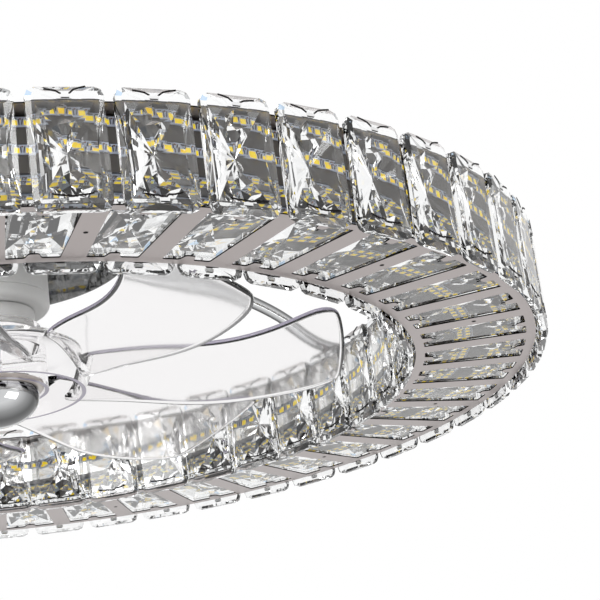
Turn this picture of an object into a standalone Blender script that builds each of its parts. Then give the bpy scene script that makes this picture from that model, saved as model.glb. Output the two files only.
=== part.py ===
"""Crystal ceiling fan: a ring of star-cut crystals lit from inside, round a clear seven-petal fan.

Lengths are in metres. +Z is up, and the origin lies on the ceiling, in the middle of the top face of
the fixing bracket. Angles are in degrees, counted from the near side (-Y) towards +X.
"""

from math import asin, cos, pi, radians, sin, sqrt

import bmesh
import bpy
from mathutils import Matrix, Vector

# Clearances
TOUCH_GAP = 0.0003
RUN_GAP = 0.0005
CUT_OVERRUN = 0.002
MERGE_DISTANCE = 0.000001

# Middle of a round edge's section, for bevels
ROUND_PROFILE_share = 0.5

# Ring plates
CEILING_TO_PLATE = 0.107
PLATE_T = 0.0015
PLATE_OUT_R = 0.2676
OUTER_RIM_W = 0.0046
INNER_RIM_W = 0.0045
WINDOW_LAP = 0.0001
BAR_W = 0.0102
FIRST_BAR_DEG = 0.85
TONGUE_W = 0.0036
TONGUE_L = 0.0034

# Star-cut crystals
CRYSTAL_W = 0.030
CRYSTAL_L = 0.050
RIM_BEVEL = 0.0022
RIM_DEPTH = 0.001
BACK_RISE = 0.0045
BACK_FRAME_W = 0.003
BACK_FRAME_L = 0.0066
OUTER_BAND = 0.0055
INNER_BAND = 0.0048
CRYSTAL_OVERHANG = 0.00375
OUTER_CRYSTAL_GAP = 0.0035
OUTER_FIRST_DEG = 0.05
INNER_CRYSTAL_GAP = 0.0027
INNER_FIRST_DEG = 8.5
LOWER_CRYSTAL_GAP = 0.0018

# Claws of the plates that hold the crystals
CLAW_W = 0.003
CLAW_T = 0.0009
CLAW_REACH = 0.002
CLAW_ROOT = 0.0015

# Light core between the plates
CORE_OUT_SET = 0.005
CORE_IN_SET = 0.0048
CORE_SKIN = 0.001
CORE_ROOM = 0.0062
CORE_SEGMENTS = 30
STRIP_W = 0.004
STRIP_T = 0.001
STRIP_HEIGHT_shares = (0.37, 0.98)
FLOOR_STRIP_W = 0.008
FLOOR_STRIP_CLEAR = 0.0004
POST_R = 0.0022
POST_SET = 0.0268
POST_SIDES = 6
POST_BARS = (5, 8)
POST_BAR_STEP = 7

# Canopy
CANOPY_R = 0.075
CANOPY_DEPTH = 0.032
CANOPY_WALL = 0.0015
CANOPY_EDGE = 0.004
CANOPY_SEGMENTS = 36
WIRE_HOLE_R = 0.006
STRAP_DEG = 150.0
STRAP_W = 0.026
STRAP_T = 0.002
EAR_L = 0.012
SLOT_PLACE = 0.038
SLOT_L = 0.012
SLOT_W = 0.005
SIDE_SCREW_DROP = 0.007
SIDE_SCREW_R = 0.0017
SIDE_HEAD_R = 0.0036
SIDE_HEAD_T = 0.0022
SIDE_HEAD_top_share = 0.7
SIDE_SCREW_L = 0.008
BOX_W = 0.026
BOX_L = 0.062
BOX_H = 0.019
BOX_SET = 0.005
BOX_EDGE = 0.002
TERMINAL_L = 0.024
TERMINAL_W = 0.014
TERMINAL_H = 0.010

# Motor, measured down from the canopy
MOTOR_R = 0.031
MOTOR_DEPTH = 0.025
MOTOR_WALL = 0.002
MOTOR_SEGMENTS = 24
COVER_H = 0.0068
COVER_EDGE = 0.0035
SHAFT_R = 0.004
SHAFT_SEGMENTS = 12
SHAFT_END_ROOM = 0.001
BEARING_R = 0.009
BEARING_H = 0.0056
COLLAR_WALL = 0.0022
STATOR_W = 0.0075
STATOR_ROOM = 0.0015
WINDING_W = 0.0045
WINDING_SET = 0.001
AIR_GAP = 0.001
MOTOR_SCREWS = 3
MOTOR_SCREW_SET = 0.012
MOTOR_SCREW_R = 0.0016
MOTOR_HEAD_R = 0.003
MOTOR_HEAD_T = 0.002

# Rotor: boss, clear impeller and cap
BOSS_SET = 0.008
BOSS_L = 0.0105
HUB_R = 0.0452
HUB_WALL = 0.002
HUB_H = 0.0235
HUB_ROOF_DROP = 0.009
HUB_EDGE = 0.0012
SOCKET_WALL = 0.002
SOCKET_LIP = 0.0028
SOCKET_FOOT_SET = 0.0015
HUB_FLOOR_RISE = 0.0058
INNER_TUBE_SET = 0.0182
INNER_TUBE_LIP = 0.0033
HUB_SEGMENTS = 28
PETALS = 7
PETAL_T = 0.0026
PETAL_TIP_ROOM = 0.0337
PETAL_ROOT_SINK = 0.001
PETAL_LOW_H = 0.0033
PETAL_RISE = 0.0236
PETAL_FIRST_DEG = 0.0
PETAL_ACROSS = 4
WASHER_CLEAR = 0.0004
WASHER_T = 0.0025
CAP_SET = 0.0026
CAP_LIP_H = 0.003
CAP_DOME_H = 0.0142
CAP_STEPS = 4
SHAFT_INTO_CAP = 0.006

# Each row of a petal, hub to tip: place along the petal as a share of its length, the high edge and
# the low edge as shares of a full turn, and the heights of both edges as shares of PETAL_RISE
PETAL_ROW_shares = (
    (0.00, 0.095, 0.222, 0.97, 0.35),
    (0.20, 0.084, 0.179, 0.93, 0.28),
    (0.40, 0.080, 0.158, 0.76, 0.06),
    (0.60, 0.075, 0.150, 0.67, 0.01),
    (0.80, 0.066, 0.135, 0.77, 0.02),
    (0.93, 0.054, 0.125, 0.83, 0.05),
    (1.00, 0.061, 0.116, 0.84, 0.10),
)

# Arms that carry the ring
ARMS = 3
FIRST_ARM_DEG = -2.0
ROD_R = 0.0034
ROD_RISE = 0.0078
ROD_INSIDE = 0.011
ROD_END_SET = 0.0273
ROD_SEGMENTS = 8
NUT_R = 0.0065
NUT_SIDES = 6
NUT_T = 0.004
FOOT_W = 0.048
FOOT_T = 0.003
FOOT_IN_SET = 0.0053
FOOT_OUT_SET = 0.0056
FOOT_CORNER = 0.008
FOOT_SCREW_R = 0.0034
FOOT_SCREW_T = 0.002
FOOT_SCREW_PLACE = 0.015

# Course of a rod from the canopy wall to its end over the foot: shares of the way out and of the way down
ROD_COURSE_shares = (
    (0.00, 0.00),
    (0.19, 0.06),
    (0.34, 0.12),
    (0.45, 0.20),
    (0.55, 0.32),
    (0.64, 0.48),
    (0.71, 0.66),
    (0.77, 0.84),
    (0.83, 0.96),
    (0.90, 1.00),
    (1.00, 1.00),
)

# Radii and counts that follow from the sizes above
WINDOW_OUT_R = PLATE_OUT_R - OUTER_RIM_W
WINDOW_IN_R = WINDOW_OUT_R + 2 * WINDOW_LAP - CRYSTAL_L
PLATE_IN_R = WINDOW_IN_R - INNER_RIM_W
OUTER_CRYSTALS = int(2 * pi * PLATE_OUT_R / (CRYSTAL_W + OUTER_CRYSTAL_GAP))
INNER_CRYSTALS = int(2 * pi * PLATE_IN_R / (CRYSTAL_W + INNER_CRYSTAL_GAP))
WINDOWS = int(2 * pi * WINDOW_IN_R / (CRYSTAL_W + LOWER_CRYSTAL_GAP))
PLATE_SEGMENTS = 2 * WINDOWS
CORE_OUT_R = WINDOW_OUT_R - CORE_OUT_SET
CORE_IN_R = WINDOW_IN_R + CORE_IN_SET
POST_CIRCLE_R = WINDOW_IN_R + POST_SET
STATOR_IN_R = MOTOR_R - MOTOR_WALL - STATOR_W
MAGNET_R = STATOR_IN_R - WINDING_W - AIR_GAP
MOTOR_SCREW_CIRCLE_R = MOTOR_R - MOTOR_SCREW_SET
BOX_PLACE = MOTOR_R + BOX_SET
BOSS_R = MOTOR_R - BOSS_SET
SOCKET_FOOT_R = BOSS_R - SOCKET_FOOT_SET
INNER_TUBE_R = HUB_R - INNER_TUBE_SET
WASHER_R = INNER_TUBE_R - HUB_WALL - WASHER_CLEAR
CAP_R = WASHER_R - CAP_SET
PETAL_TIP_R = PLATE_IN_R - PETAL_TIP_ROOM
ROD_END_R = PLATE_IN_R + ROD_END_SET
FOOT_IN_R = PLATE_IN_R + FOOT_IN_SET
FOOT_OUT_R = PLATE_OUT_R - FOOT_OUT_SET

# Levels that follow from the sizes above
RING_HEIGHT = CRYSTAL_L - 2 * CRYSTAL_OVERHANG
CORE_FLOOR_H = PLATE_T + TOUCH_GAP + OUTER_BAND + BACK_RISE + CORE_ROOM
ROD_DROP = CANOPY_DEPTH - ROD_RISE
PLATE_Z = -CEILING_TO_PLATE
RING_TOP_Z = PLATE_Z + RING_HEIGHT
RING_MID_Z = PLATE_Z + RING_HEIGHT / 2
CORE_TOP_Z = RING_TOP_Z - PLATE_T - TOUCH_GAP
CORE_FLOOR_Z = PLATE_Z + CORE_FLOOR_H
CANOPY_Z = -CANOPY_DEPTH
CANOPY_FLOOR_Z = CANOPY_Z + CANOPY_WALL
MOTOR_TOP_Z = CANOPY_Z - TOUCH_GAP
MOTOR_CEILING_Z = MOTOR_TOP_Z - MOTOR_WALL
COVER_Z = CANOPY_Z - MOTOR_DEPTH
COVER_TOP_Z = COVER_Z + COVER_H
COLLAR_Z = MOTOR_CEILING_Z - SHAFT_END_ROOM - BEARING_H
STATOR_Z = COVER_TOP_Z + TOUCH_GAP
STATOR_H = COLLAR_Z - STATOR_ROOM - STATOR_Z
WINDING_H = STATOR_H - WINDING_SET
BOSS_TOP_Z = COVER_Z - RUN_GAP
BOSS_END_Z = BOSS_TOP_Z - BOSS_L
SOCKET_FLOOR_Z = BOSS_END_Z - TOUCH_GAP
HUB_ROOF_Z = BOSS_END_Z - HUB_ROOF_DROP
HUB_RIM_Z = HUB_ROOF_Z - HUB_H
HUB_FLOOR_Z = HUB_RIM_Z + HUB_FLOOR_RISE
WASHER_Z = HUB_FLOOR_Z - TOUCH_GAP - WASHER_T
CAP_TOP_Z = WASHER_Z - TOUCH_GAP
SHAFT_TOP_Z = MOTOR_CEILING_Z - SHAFT_END_ROOM
SHAFT_END_Z = CAP_TOP_Z - SHAFT_INTO_CAP
PETAL_LOW_Z = HUB_RIM_Z - PETAL_LOW_H
FOOT_Z = RING_TOP_Z + TOUCH_GAP
FOOT_TOP_Z = FOOT_Z + FOOT_T
ROD_END_Z = FOOT_TOP_Z + TOUCH_GAP + ROD_R
BORE_R = SHAFT_R + TOUCH_GAP

# Finishes: base colour, roughness, metallic
CLEAR_CRYSTAL = ((0.93, 0.95, 0.96, 1.0), 0.02, 0.0)
CLEAR_PLASTIC = ((0.92, 0.91, 0.93, 1.0), 0.08, 0.0)
POLISHED_STEEL = ((0.66, 0.62, 0.60, 1.0), 0.18, 1.0)
MIRROR_CHROME = ((0.86, 0.87, 0.88, 1.0), 0.05, 1.0)
GREY_PAINT = ((0.66, 0.67, 0.66, 1.0), 0.45, 0.0)
CORE_METAL = ((0.36, 0.33, 0.31, 1.0), 0.35, 1.0)
ZINC_STEEL = ((0.70, 0.71, 0.72, 1.0), 0.40, 1.0)
STRIP_BOARD = ((0.92, 0.93, 0.95, 1.0), 0.40, 0.0)
WHITE_PLASTIC = ((0.90, 0.90, 0.88, 1.0), 0.50, 0.0)
COPPER = ((0.72, 0.42, 0.26, 1.0), 0.35, 1.0)
DARK_IRON = ((0.20, 0.20, 0.21, 1.0), 0.50, 1.0)
BEARING_STEEL = ((0.75, 0.75, 0.76, 1.0), 0.20, 1.0)
BEIGE_RING = ((0.78, 0.74, 0.71, 1.0), 0.25, 0.2)


def clear_scene():
    for old in list(bpy.data.objects):
        bpy.data.objects.remove(old, do_unlink=True)


def around(degrees_round):
    """Turn about the Z axis."""
    return Matrix.Rotation(radians(degrees_round), 4, "Z")


def give_finish(obj, finish):
    colour, roughness, metallic = finish
    material = bpy.data.materials.new(obj.name + "_finish")
    material.use_nodes = True
    shader = material.node_tree.nodes["Principled BSDF"]
    shader.inputs["Base Color"].default_value = colour
    shader.inputs["Roughness"].default_value = roughness
    shader.inputs["Metallic"].default_value = metallic
    material.diffuse_color = colour
    obj.data.materials.append(material)


def add_object(name, bm, finish, smooth_deg=30.0):
    """Make one named object of a finished bmesh, with its normals out and its own material."""
    bmesh.ops.recalc_face_normals(bm, faces=bm.faces)
    mesh = bpy.data.meshes.new(name)
    bm.to_mesh(mesh)
    bm.free()
    mesh.shade_smooth()
    mesh.set_sharp_from_angle(angle=radians(smooth_deg))
    obj = bpy.data.objects.new(name, mesh)
    bpy.context.scene.collection.objects.link(obj)
    give_finish(obj, finish)
    return obj


def add_guide(name, bm):
    """An object that only cuts or joins another one."""
    obj = add_object(name, bm, GREY_PAINT)
    obj.hide_render = True
    obj.display_type = "WIRE"
    return obj


def combine(obj, guide, operation):
    modifier = obj.modifiers.new(guide.name, "BOOLEAN")
    modifier.operation = operation
    modifier.solver = "EXACT"
    modifier.object = guide


def turn_profile(bm, profile, segments, start_deg=0.0):
    """Spin a section of (radius, height) points round the Z axis into one closed body."""
    start = around(start_deg)
    verts = [bm.verts.new(start @ Vector((0.0, -radius, height))) for radius, height in profile]
    edges = [bm.edges.new(pair) for pair in zip(verts, verts[1:])]
    if profile[0][0] > 0.0:
        edges.append(bm.edges.new((verts[-1], verts[0])))
    bmesh.ops.spin(bm, geom=verts + edges, axis=(0, 0, 1), cent=(0, 0, 0), angle=2 * pi,
                   steps=segments, use_merge=True)
    bmesh.ops.remove_doubles(bm, verts=bm.verts, dist=MERGE_DISTANCE)


def band_profile(inner_r, outer_r, low_z, high_z):
    return ((inner_r, high_z), (outer_r, high_z), (outer_r, low_z), (inner_r, low_z))


def arc_points(centre_r, centre_z, radius, from_deg, to_deg, steps):
    """Points of a round edge in the section plane, 0 degrees outwards and 90 degrees up."""
    angles = [radians(from_deg + (to_deg - from_deg) * step / steps) for step in range(steps + 1)]
    return [(centre_r + radius * cos(angle), centre_z + radius * sin(angle)) for angle in angles]


def add_rod(bm, radius, low_z, high_z, sides, place=Matrix()):
    """An upright round or many-sided bar on the place's Z axis."""
    middle = Matrix.Translation((0, 0, (low_z + high_z) / 2))
    bmesh.ops.create_cone(bm, cap_ends=True, segments=sides, radius1=radius, radius2=radius,
                          depth=high_z - low_z, matrix=place @ middle)


def add_block(bm, size, place):
    made = bmesh.ops.create_cube(bm, size=1.0, matrix=place @ Matrix.Diagonal((*size, 1.0)))
    return made["verts"]


def add_prism(bm, outline, low_z, high_z, place=Matrix()):
    """Push a flat outline of (x, y) points up into a closed body."""
    base = bm.faces.new([bm.verts.new(place @ Vector((x, y, low_z))) for x, y in outline])
    pushed = bmesh.ops.extrude_face_region(bm, geom=[base], use_keep_orig=True)
    top = [item for item in pushed["geom"] if isinstance(item, bmesh.types.BMVert)]
    bmesh.ops.translate(bm, verts=top, vec=place.to_3x3() @ Vector((0, 0, high_z - low_z)))


def outward_bar(radius, height, angle_deg):
    """Place whose Z axis points straight out from the axis at an angle, a radius and a height."""
    return around(angle_deg) @ Matrix.Translation((0, -radius, height)) @ Matrix.Rotation(pi / 2, 4, "X")


# Crystals

def join_rings(bm, first, second):
    """Faces between two rings with the same number of points."""
    for index in range(len(first)):
        after = (index + 1) % len(first)
        bm.faces.new((first[index], first[after], second[after], second[index]))


def add_crystal(bm, band, place):
    """A star-cut brick: flat front at y = 0 facing -Y, bevelled rim, edge band and raised back."""

    def corners(side_w, side_l, depth):
        x = CRYSTAL_W / 2 - side_w
        z = CRYSTAL_L / 2 - side_l
        return [bm.verts.new(place @ Vector(point))
                for point in ((-x, depth, -z), (x, depth, -z), (x, depth, z), (-x, depth, z))]

    table = corners(RIM_BEVEL, RIM_BEVEL, 0.0)
    front_rim = corners(0.0, 0.0, RIM_DEPTH)
    back_rim = corners(0.0, 0.0, band)
    frame = corners(BACK_FRAME_W, BACK_FRAME_L, band)
    peak = bm.verts.new(place @ Vector((0.0, band + BACK_RISE, 0.0)))
    bm.faces.new(table)
    join_rings(bm, front_rim, table)
    join_rings(bm, front_rim, back_rim)
    join_rings(bm, back_rim, frame)
    for index in range(len(frame)):
        bm.faces.new((frame[index], frame[(index + 1) % len(frame)], peak))


def add_lower_crystal(bm, place):
    """A brick with a flat front at y = 0 facing -Y, square edges and a raised back."""

    def corners(depth):
        x = CRYSTAL_W / 2
        z = CRYSTAL_L / 2
        return [bm.verts.new(place @ Vector(point))
                for point in ((-x, depth, -z), (x, depth, -z), (x, depth, z), (-x, depth, z))]

    front = corners(0.0)
    back = corners(OUTER_BAND)
    peak = bm.verts.new(place @ Vector((0.0, OUTER_BAND + BACK_RISE, 0.0)))
    bm.faces.new(front)
    join_rings(bm, front, back)
    for index in range(len(back)):
        bm.faces.new((back[index], back[(index + 1) % len(back)], peak))


def outer_front_r():
    return PLATE_OUT_R + TOUCH_GAP + OUTER_BAND


def inner_back_r():
    """Distance of the inner crystals' backs, whose corners just clear the inner rim of the plates."""
    rim_r = PLATE_IN_R * cos(pi / PLATE_SEGMENTS) - TOUCH_GAP
    return sqrt(rim_r ** 2 - (CRYSTAL_W / 2) ** 2)


def side_crystals_guide():
    """The upright crystals, which face outwards and towards the fan."""
    bm = bmesh.new()
    half_turn = Matrix.Rotation(pi, 4, "Z")
    for index in range(OUTER_CRYSTALS):
        place = around(OUTER_FIRST_DEG + 360 * index / OUTER_CRYSTALS)
        add_crystal(bm, OUTER_BAND, place @ Matrix.Translation((0, -outer_front_r(), RING_MID_Z)))
    for index in range(INNER_CRYSTALS):
        place = around(INNER_FIRST_DEG + 360 * index / INNER_CRYSTALS)
        seat = Matrix.Translation((0, INNER_BAND - inner_back_r(), RING_MID_Z))
        add_crystal(bm, INNER_BAND, place @ seat @ half_turn)
    return add_guide("side_crystals_guide", bm)


def side_claws_guide():
    """Claws of the top plate's rims, each reaching into the back of an upright crystal."""
    bm = bmesh.new()
    middle_z = RING_TOP_Z - PLATE_T / 2
    outer_end = PLATE_OUT_R + TOUCH_GAP + CLAW_REACH
    inner_end = inner_back_r() - CLAW_REACH
    outer_size = (CLAW_W, outer_end - PLATE_OUT_R + CLAW_ROOT, CLAW_T)
    inner_size = (CLAW_W, PLATE_IN_R + CLAW_ROOT - inner_end, CLAW_T)
    for index in range(OUTER_CRYSTALS):
        place = around(OUTER_FIRST_DEG + 360 * index / OUTER_CRYSTALS)
        add_block(bm, outer_size, place @ Matrix.Translation((0, outer_size[1] / 2 - outer_end, middle_z)))
    for index in range(INNER_CRYSTALS):
        place = around(INNER_FIRST_DEG + 360 * index / INNER_CRYSTALS)
        add_block(bm, inner_size, place @ Matrix.Translation((0, -inner_end - inner_size[1] / 2, middle_z)))
    return add_guide("side_claws_guide", bm)


def window_place(index):
    return around(FIRST_BAR_DEG + 360 * (index + 0.5) / WINDOWS)


def lower_crystals_guide():
    """Crystals that lie over the windows, front down, on the bars of the bottom plate."""
    bm = bmesh.new()
    middle_r = (WINDOW_IN_R + WINDOW_OUT_R) / 2
    seat = Matrix.Translation((0, -middle_r, PLATE_Z + PLATE_T + TOUCH_GAP))
    face_down = Matrix.Rotation(pi / 2, 4, "X")
    for index in range(WINDOWS):
        add_lower_crystal(bm, window_place(index) @ seat @ face_down)
    return add_guide("lower_crystals_guide", bm)


def lower_claws_guide():
    """Claws that stand on the outer tongues and hold the lower crystals."""
    bm = bmesh.new()
    size = (CLAW_W, CLAW_T, PLATE_T / 2 + TOUCH_GAP + CLAW_REACH)
    seat = Matrix.Translation((0, TONGUE_L - CLAW_T - WINDOW_OUT_R, PLATE_Z + PLATE_T / 2 + size[2] / 2))
    for index in range(WINDOWS):
        add_block(bm, size, window_place(index) @ seat)
    return add_guide("lower_claws_guide", bm)


# Ring plates and light core

def window_outline():
    """One window between two straight bars, with a tongue in the middle of each end, pointing to -Y."""
    half_pitch = pi / WINDOWS
    outer_turn = half_pitch - asin(BAR_W / 2 / WINDOW_OUT_R)
    inner_turn = half_pitch - asin(BAR_W / 2 / WINDOW_IN_R)
    half_tongue = TONGUE_W / 2

    def corner(radius, turn):
        return (radius * sin(turn), -radius * cos(turn))

    return (
        corner(WINDOW_OUT_R, -outer_turn),
        (-half_tongue, -WINDOW_OUT_R), (-half_tongue, TONGUE_L - WINDOW_OUT_R),
        (half_tongue, TONGUE_L - WINDOW_OUT_R), (half_tongue, -WINDOW_OUT_R),
        corner(WINDOW_OUT_R, outer_turn),
        corner(WINDOW_IN_R, inner_turn),
        (half_tongue, -WINDOW_IN_R), (half_tongue, -TONGUE_L - WINDOW_IN_R),
        (-half_tongue, -TONGUE_L - WINDOW_IN_R), (-half_tongue, -WINDOW_IN_R),
        corner(WINDOW_IN_R, -inner_turn),
    )


def bottom_plate():
    """Plate with radial windows, and the lower crystals that its tongues hold."""
    bm = bmesh.new()
    section = band_profile(PLATE_IN_R, PLATE_OUT_R, PLATE_Z, PLATE_Z + PLATE_T)
    turn_profile(bm, section, PLATE_SEGMENTS, FIRST_BAR_DEG)
    plate = add_object("bottom_plate_and_crystals", bm, POLISHED_STEEL)
    cuts = bmesh.new()
    outline = window_outline()
    for index in range(WINDOWS):
        add_prism(cuts, outline, PLATE_Z - CUT_OVERRUN, PLATE_Z + PLATE_T + CUT_OVERRUN, window_place(index))
    combine(plate, add_guide("window_cutter", cuts), "DIFFERENCE")
    combine(plate, lower_claws_guide(), "UNION")
    combine(plate, lower_crystals_guide(), "UNION")


def top_plate():
    """Plate that hangs on the arms, and the upright crystals that its claws hold."""
    bm = bmesh.new()
    section = band_profile(PLATE_IN_R, PLATE_OUT_R, RING_TOP_Z - PLATE_T, RING_TOP_Z)
    turn_profile(bm, section, PLATE_SEGMENTS, FIRST_BAR_DEG)
    plate = add_object("top_plate_and_crystals", bm, CLEAR_CRYSTAL)
    combine(plate, side_claws_guide(), "UNION")
    combine(plate, side_crystals_guide(), "UNION")


def core_channel():
    """Folded channel, open at the top, with the posts that stand on the bars of the bottom plate."""
    bm = bmesh.new()
    section = (
        (CORE_OUT_R, CORE_TOP_Z), (CORE_OUT_R, CORE_FLOOR_Z),
        (CORE_IN_R, CORE_FLOOR_Z), (CORE_IN_R, CORE_TOP_Z),
        (CORE_IN_R + CORE_SKIN, CORE_TOP_Z), (CORE_IN_R + CORE_SKIN, CORE_FLOOR_Z + CORE_SKIN),
        (CORE_OUT_R - CORE_SKIN, CORE_FLOOR_Z + CORE_SKIN), (CORE_OUT_R - CORE_SKIN, CORE_TOP_Z),
    )
    turn_profile(bm, section, CORE_SEGMENTS, FIRST_BAR_DEG)
    channel = add_object("core_channel", bm, CORE_METAL)
    posts = bmesh.new()
    for place in post_places():
        add_rod(posts, POST_R, PLATE_Z + PLATE_T + TOUCH_GAP, CORE_FLOOR_Z + CORE_SKIN / 2, POST_SIDES, place)
    combine(channel, add_guide("posts_guide", posts), "UNION")


def wall_strips():
    """Two light strips round the outer wall of the channel and one round the inner wall."""
    climb = CORE_TOP_Z - CORE_FLOOR_Z - STRIP_W
    outside_r = CORE_OUT_R + TOUCH_GAP
    inside_r = CORE_IN_R - TOUCH_GAP - STRIP_T
    strips = (
        ("led_strip_outer_lower", outside_r, STRIP_HEIGHT_shares[0]),
        ("led_strip_outer_upper", outside_r, STRIP_HEIGHT_shares[1]),
        ("led_strip_inner", inside_r, STRIP_HEIGHT_shares[0]),
    )
    for name, inner_r, share in strips:
        bm = bmesh.new()
        low_z = CORE_FLOOR_Z + climb * share
        section = band_profile(inner_r, inner_r + STRIP_T, low_z, low_z + STRIP_W)
        turn_profile(bm, section, CORE_SEGMENTS, FIRST_BAR_DEG)
        add_object(name, bm, STRIP_BOARD)


def floor_strip():
    """Light strip under the channel's floor, facing the lower crystals."""
    bm = bmesh.new()
    top_z = CORE_FLOOR_Z - TOUCH_GAP
    outer_r = POST_CIRCLE_R - POST_R - FLOOR_STRIP_CLEAR
    section = band_profile(outer_r - FLOOR_STRIP_W, outer_r, top_z - STRIP_T, top_z)
    turn_profile(bm, section, CORE_SEGMENTS, FIRST_BAR_DEG)
    add_object("led_strip_floor", bm, STRIP_BOARD)


def post_places():
    turns = WINDOWS // POST_BAR_STEP
    bars = [first + POST_BAR_STEP * step for first in POST_BARS for step in range(turns)]
    return [around(FIRST_BAR_DEG + 360 * bar / WINDOWS) @ Matrix.Translation((0, -POST_CIRCLE_R, 0)) for bar in bars]


# Canopy and what it holds

def side_screw_bars():
    """Places of the two screws that fix the canopy to the ears of the strap."""
    return [outward_bar(0.0, -SIDE_SCREW_DROP, STRAP_DEG + turn) for turn in (0.0, 180.0)]


def arm_angles():
    return [FIRST_ARM_DEG + 360 * index / ARMS for index in range(ARMS)]


def motor_screw_places():
    return [around(STRAP_DEG + 360 * index / MOTOR_SCREWS) @ Matrix.Translation((0, -MOTOR_SCREW_CIRCLE_R, 0))
            for index in range(MOTOR_SCREWS)]


def canopy_shell():
    bm = bmesh.new()
    wall_r = CANOPY_R - CANOPY_WALL
    outer_edge = arc_points(CANOPY_R - CANOPY_EDGE, CANOPY_Z + CANOPY_EDGE, CANOPY_EDGE, 0, -90, 2)
    inner_edge = arc_points(CANOPY_R - CANOPY_EDGE, CANOPY_Z + CANOPY_EDGE, CANOPY_EDGE - CANOPY_WALL, -90, 0, 1)
    section = [(CANOPY_R, 0.0)] + outer_edge + [(WIRE_HOLE_R, CANOPY_Z), (WIRE_HOLE_R, CANOPY_FLOOR_Z)]
    section += inner_edge + [(wall_r, 0.0)]
    turn_profile(bm, section, CANOPY_SEGMENTS)
    shell = add_object("canopy_shell", bm, MIRROR_CHROME)
    cuts = bmesh.new()
    for angle in arm_angles():
        add_rod(cuts, ROD_R + TOUCH_GAP, wall_r - CUT_OVERRUN, CANOPY_R + CUT_OVERRUN, 8,
                outward_bar(0.0, -ROD_DROP, angle))
    for place in side_screw_bars():
        add_rod(cuts, SIDE_SCREW_R + TOUCH_GAP, wall_r - CUT_OVERRUN, CANOPY_R + CUT_OVERRUN, 8, place)
    for place in motor_screw_places():
        add_rod(cuts, MOTOR_SCREW_R + TOUCH_GAP, CANOPY_Z - CUT_OVERRUN, CANOPY_FLOOR_Z + CUT_OVERRUN, 8, place)
    combine(shell, add_guide("canopy_cutter", cuts), "DIFFERENCE")


def ear_face_r():
    """How far out an ear may reach, so that its corners clear the canopy's wall."""
    room_r = (CANOPY_R - CANOPY_WALL) * cos(pi / CANOPY_SEGMENTS) - TOUCH_GAP
    return sqrt(room_r ** 2 - (STRAP_W / 2) ** 2)


def ceiling_bracket():
    """Strap across the ceiling with an ear folded down at each end."""
    bm = bmesh.new()
    reach = ear_face_r()
    section = (
        (-reach, 0.0), (reach, 0.0), (reach, -EAR_L), (reach - STRAP_T, -EAR_L),
        (reach - STRAP_T, -STRAP_T), (STRAP_T - reach, -STRAP_T), (STRAP_T - reach, -EAR_L), (-reach, -EAR_L),
    )
    upright = around(STRAP_DEG + 90) @ Matrix.Rotation(pi / 2, 4, "X")
    add_prism(bm, section, -STRAP_W / 2, STRAP_W / 2, upright)
    bracket = add_object("ceiling_bracket", bm, ZINC_STEEL)
    cuts = bmesh.new()
    for place in side_screw_bars():
        add_rod(cuts, SIDE_SCREW_R + TOUCH_GAP, reach - STRAP_T - CUT_OVERRUN, reach + CUT_OVERRUN, 8, place)
    for side in (-1, 1):
        place = around(STRAP_DEG) @ Matrix.Translation((0, side * SLOT_PLACE, -STRAP_T / 2))
        add_block(cuts, (SLOT_W, SLOT_L, STRAP_T + CUT_OVERRUN), place)
    combine(bracket, add_guide("bracket_cutter", cuts), "DIFFERENCE")


def canopy_screws():
    under_head = CANOPY_R + TOUCH_GAP
    section = (
        (0.0, under_head + SIDE_HEAD_T), (SIDE_HEAD_R * SIDE_HEAD_top_share, under_head + SIDE_HEAD_T),
        (SIDE_HEAD_R, under_head), (SIDE_SCREW_R, under_head),
        (SIDE_SCREW_R, under_head - SIDE_SCREW_L), (0.0, under_head - SIDE_SCREW_L),
    )
    for number, place in enumerate(side_screw_bars(), 1):
        add_turned_piece("canopy_screw_" + str(number), section, 8, place, MIRROR_CHROME)


def add_turned_piece(name, section, segments, place, finish):
    """A small turned piece, such as a screw, with its own axis along the place's Z axis."""
    bm = bmesh.new()
    turn_profile(bm, section, segments)
    bmesh.ops.transform(bm, matrix=place, verts=bm.verts)
    return add_object(name, bm, finish)


def add_soft_block(bm, size, place, edge):
    """A box with its upright edges rounded off."""
    verts = add_block(bm, size, Matrix())
    upright = [e for e in {e for v in verts for e in v.link_edges}
               if abs(e.verts[0].co.z - e.verts[1].co.z) > size[2] / 2]
    upright.sort(key=lambda e: (e.verts[0].co.x, e.verts[0].co.y))
    made = bmesh.ops.bevel(bm, geom=upright, offset=edge, segments=1, profile=ROUND_PROFILE_share, affect="EDGES", material=-1)
    body = {v for f in made["faces"] for v in f.verts}
    bmesh.ops.transform(bm, matrix=place, verts=list(body))


def control_boxes():
    """Light driver and fan controller, side by side on the floor of the canopy."""
    middle_z = CANOPY_FLOOR_Z + TOUCH_GAP + BOX_H / 2
    for name, turn in (("light_driver", 90.0), ("fan_controller", -90.0)):
        bm = bmesh.new()
        place = around(STRAP_DEG + turn) @ Matrix.Translation((0, -BOX_PLACE, middle_z))
        add_soft_block(bm, (BOX_L, BOX_W, BOX_H), place, BOX_EDGE)
        add_object(name, bm, WHITE_PLASTIC)


def terminal_block():
    """Mains terminals under the middle of the strap."""
    bm = bmesh.new()
    place = around(STRAP_DEG) @ Matrix.Translation((0, 0, -STRAP_T - TOUCH_GAP - TERMINAL_H / 2))
    add_soft_block(bm, (TERMINAL_W, TERMINAL_L, TERMINAL_H), place, BOX_EDGE)
    add_object("terminal_block", bm, WHITE_PLASTIC)


# Motor

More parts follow.
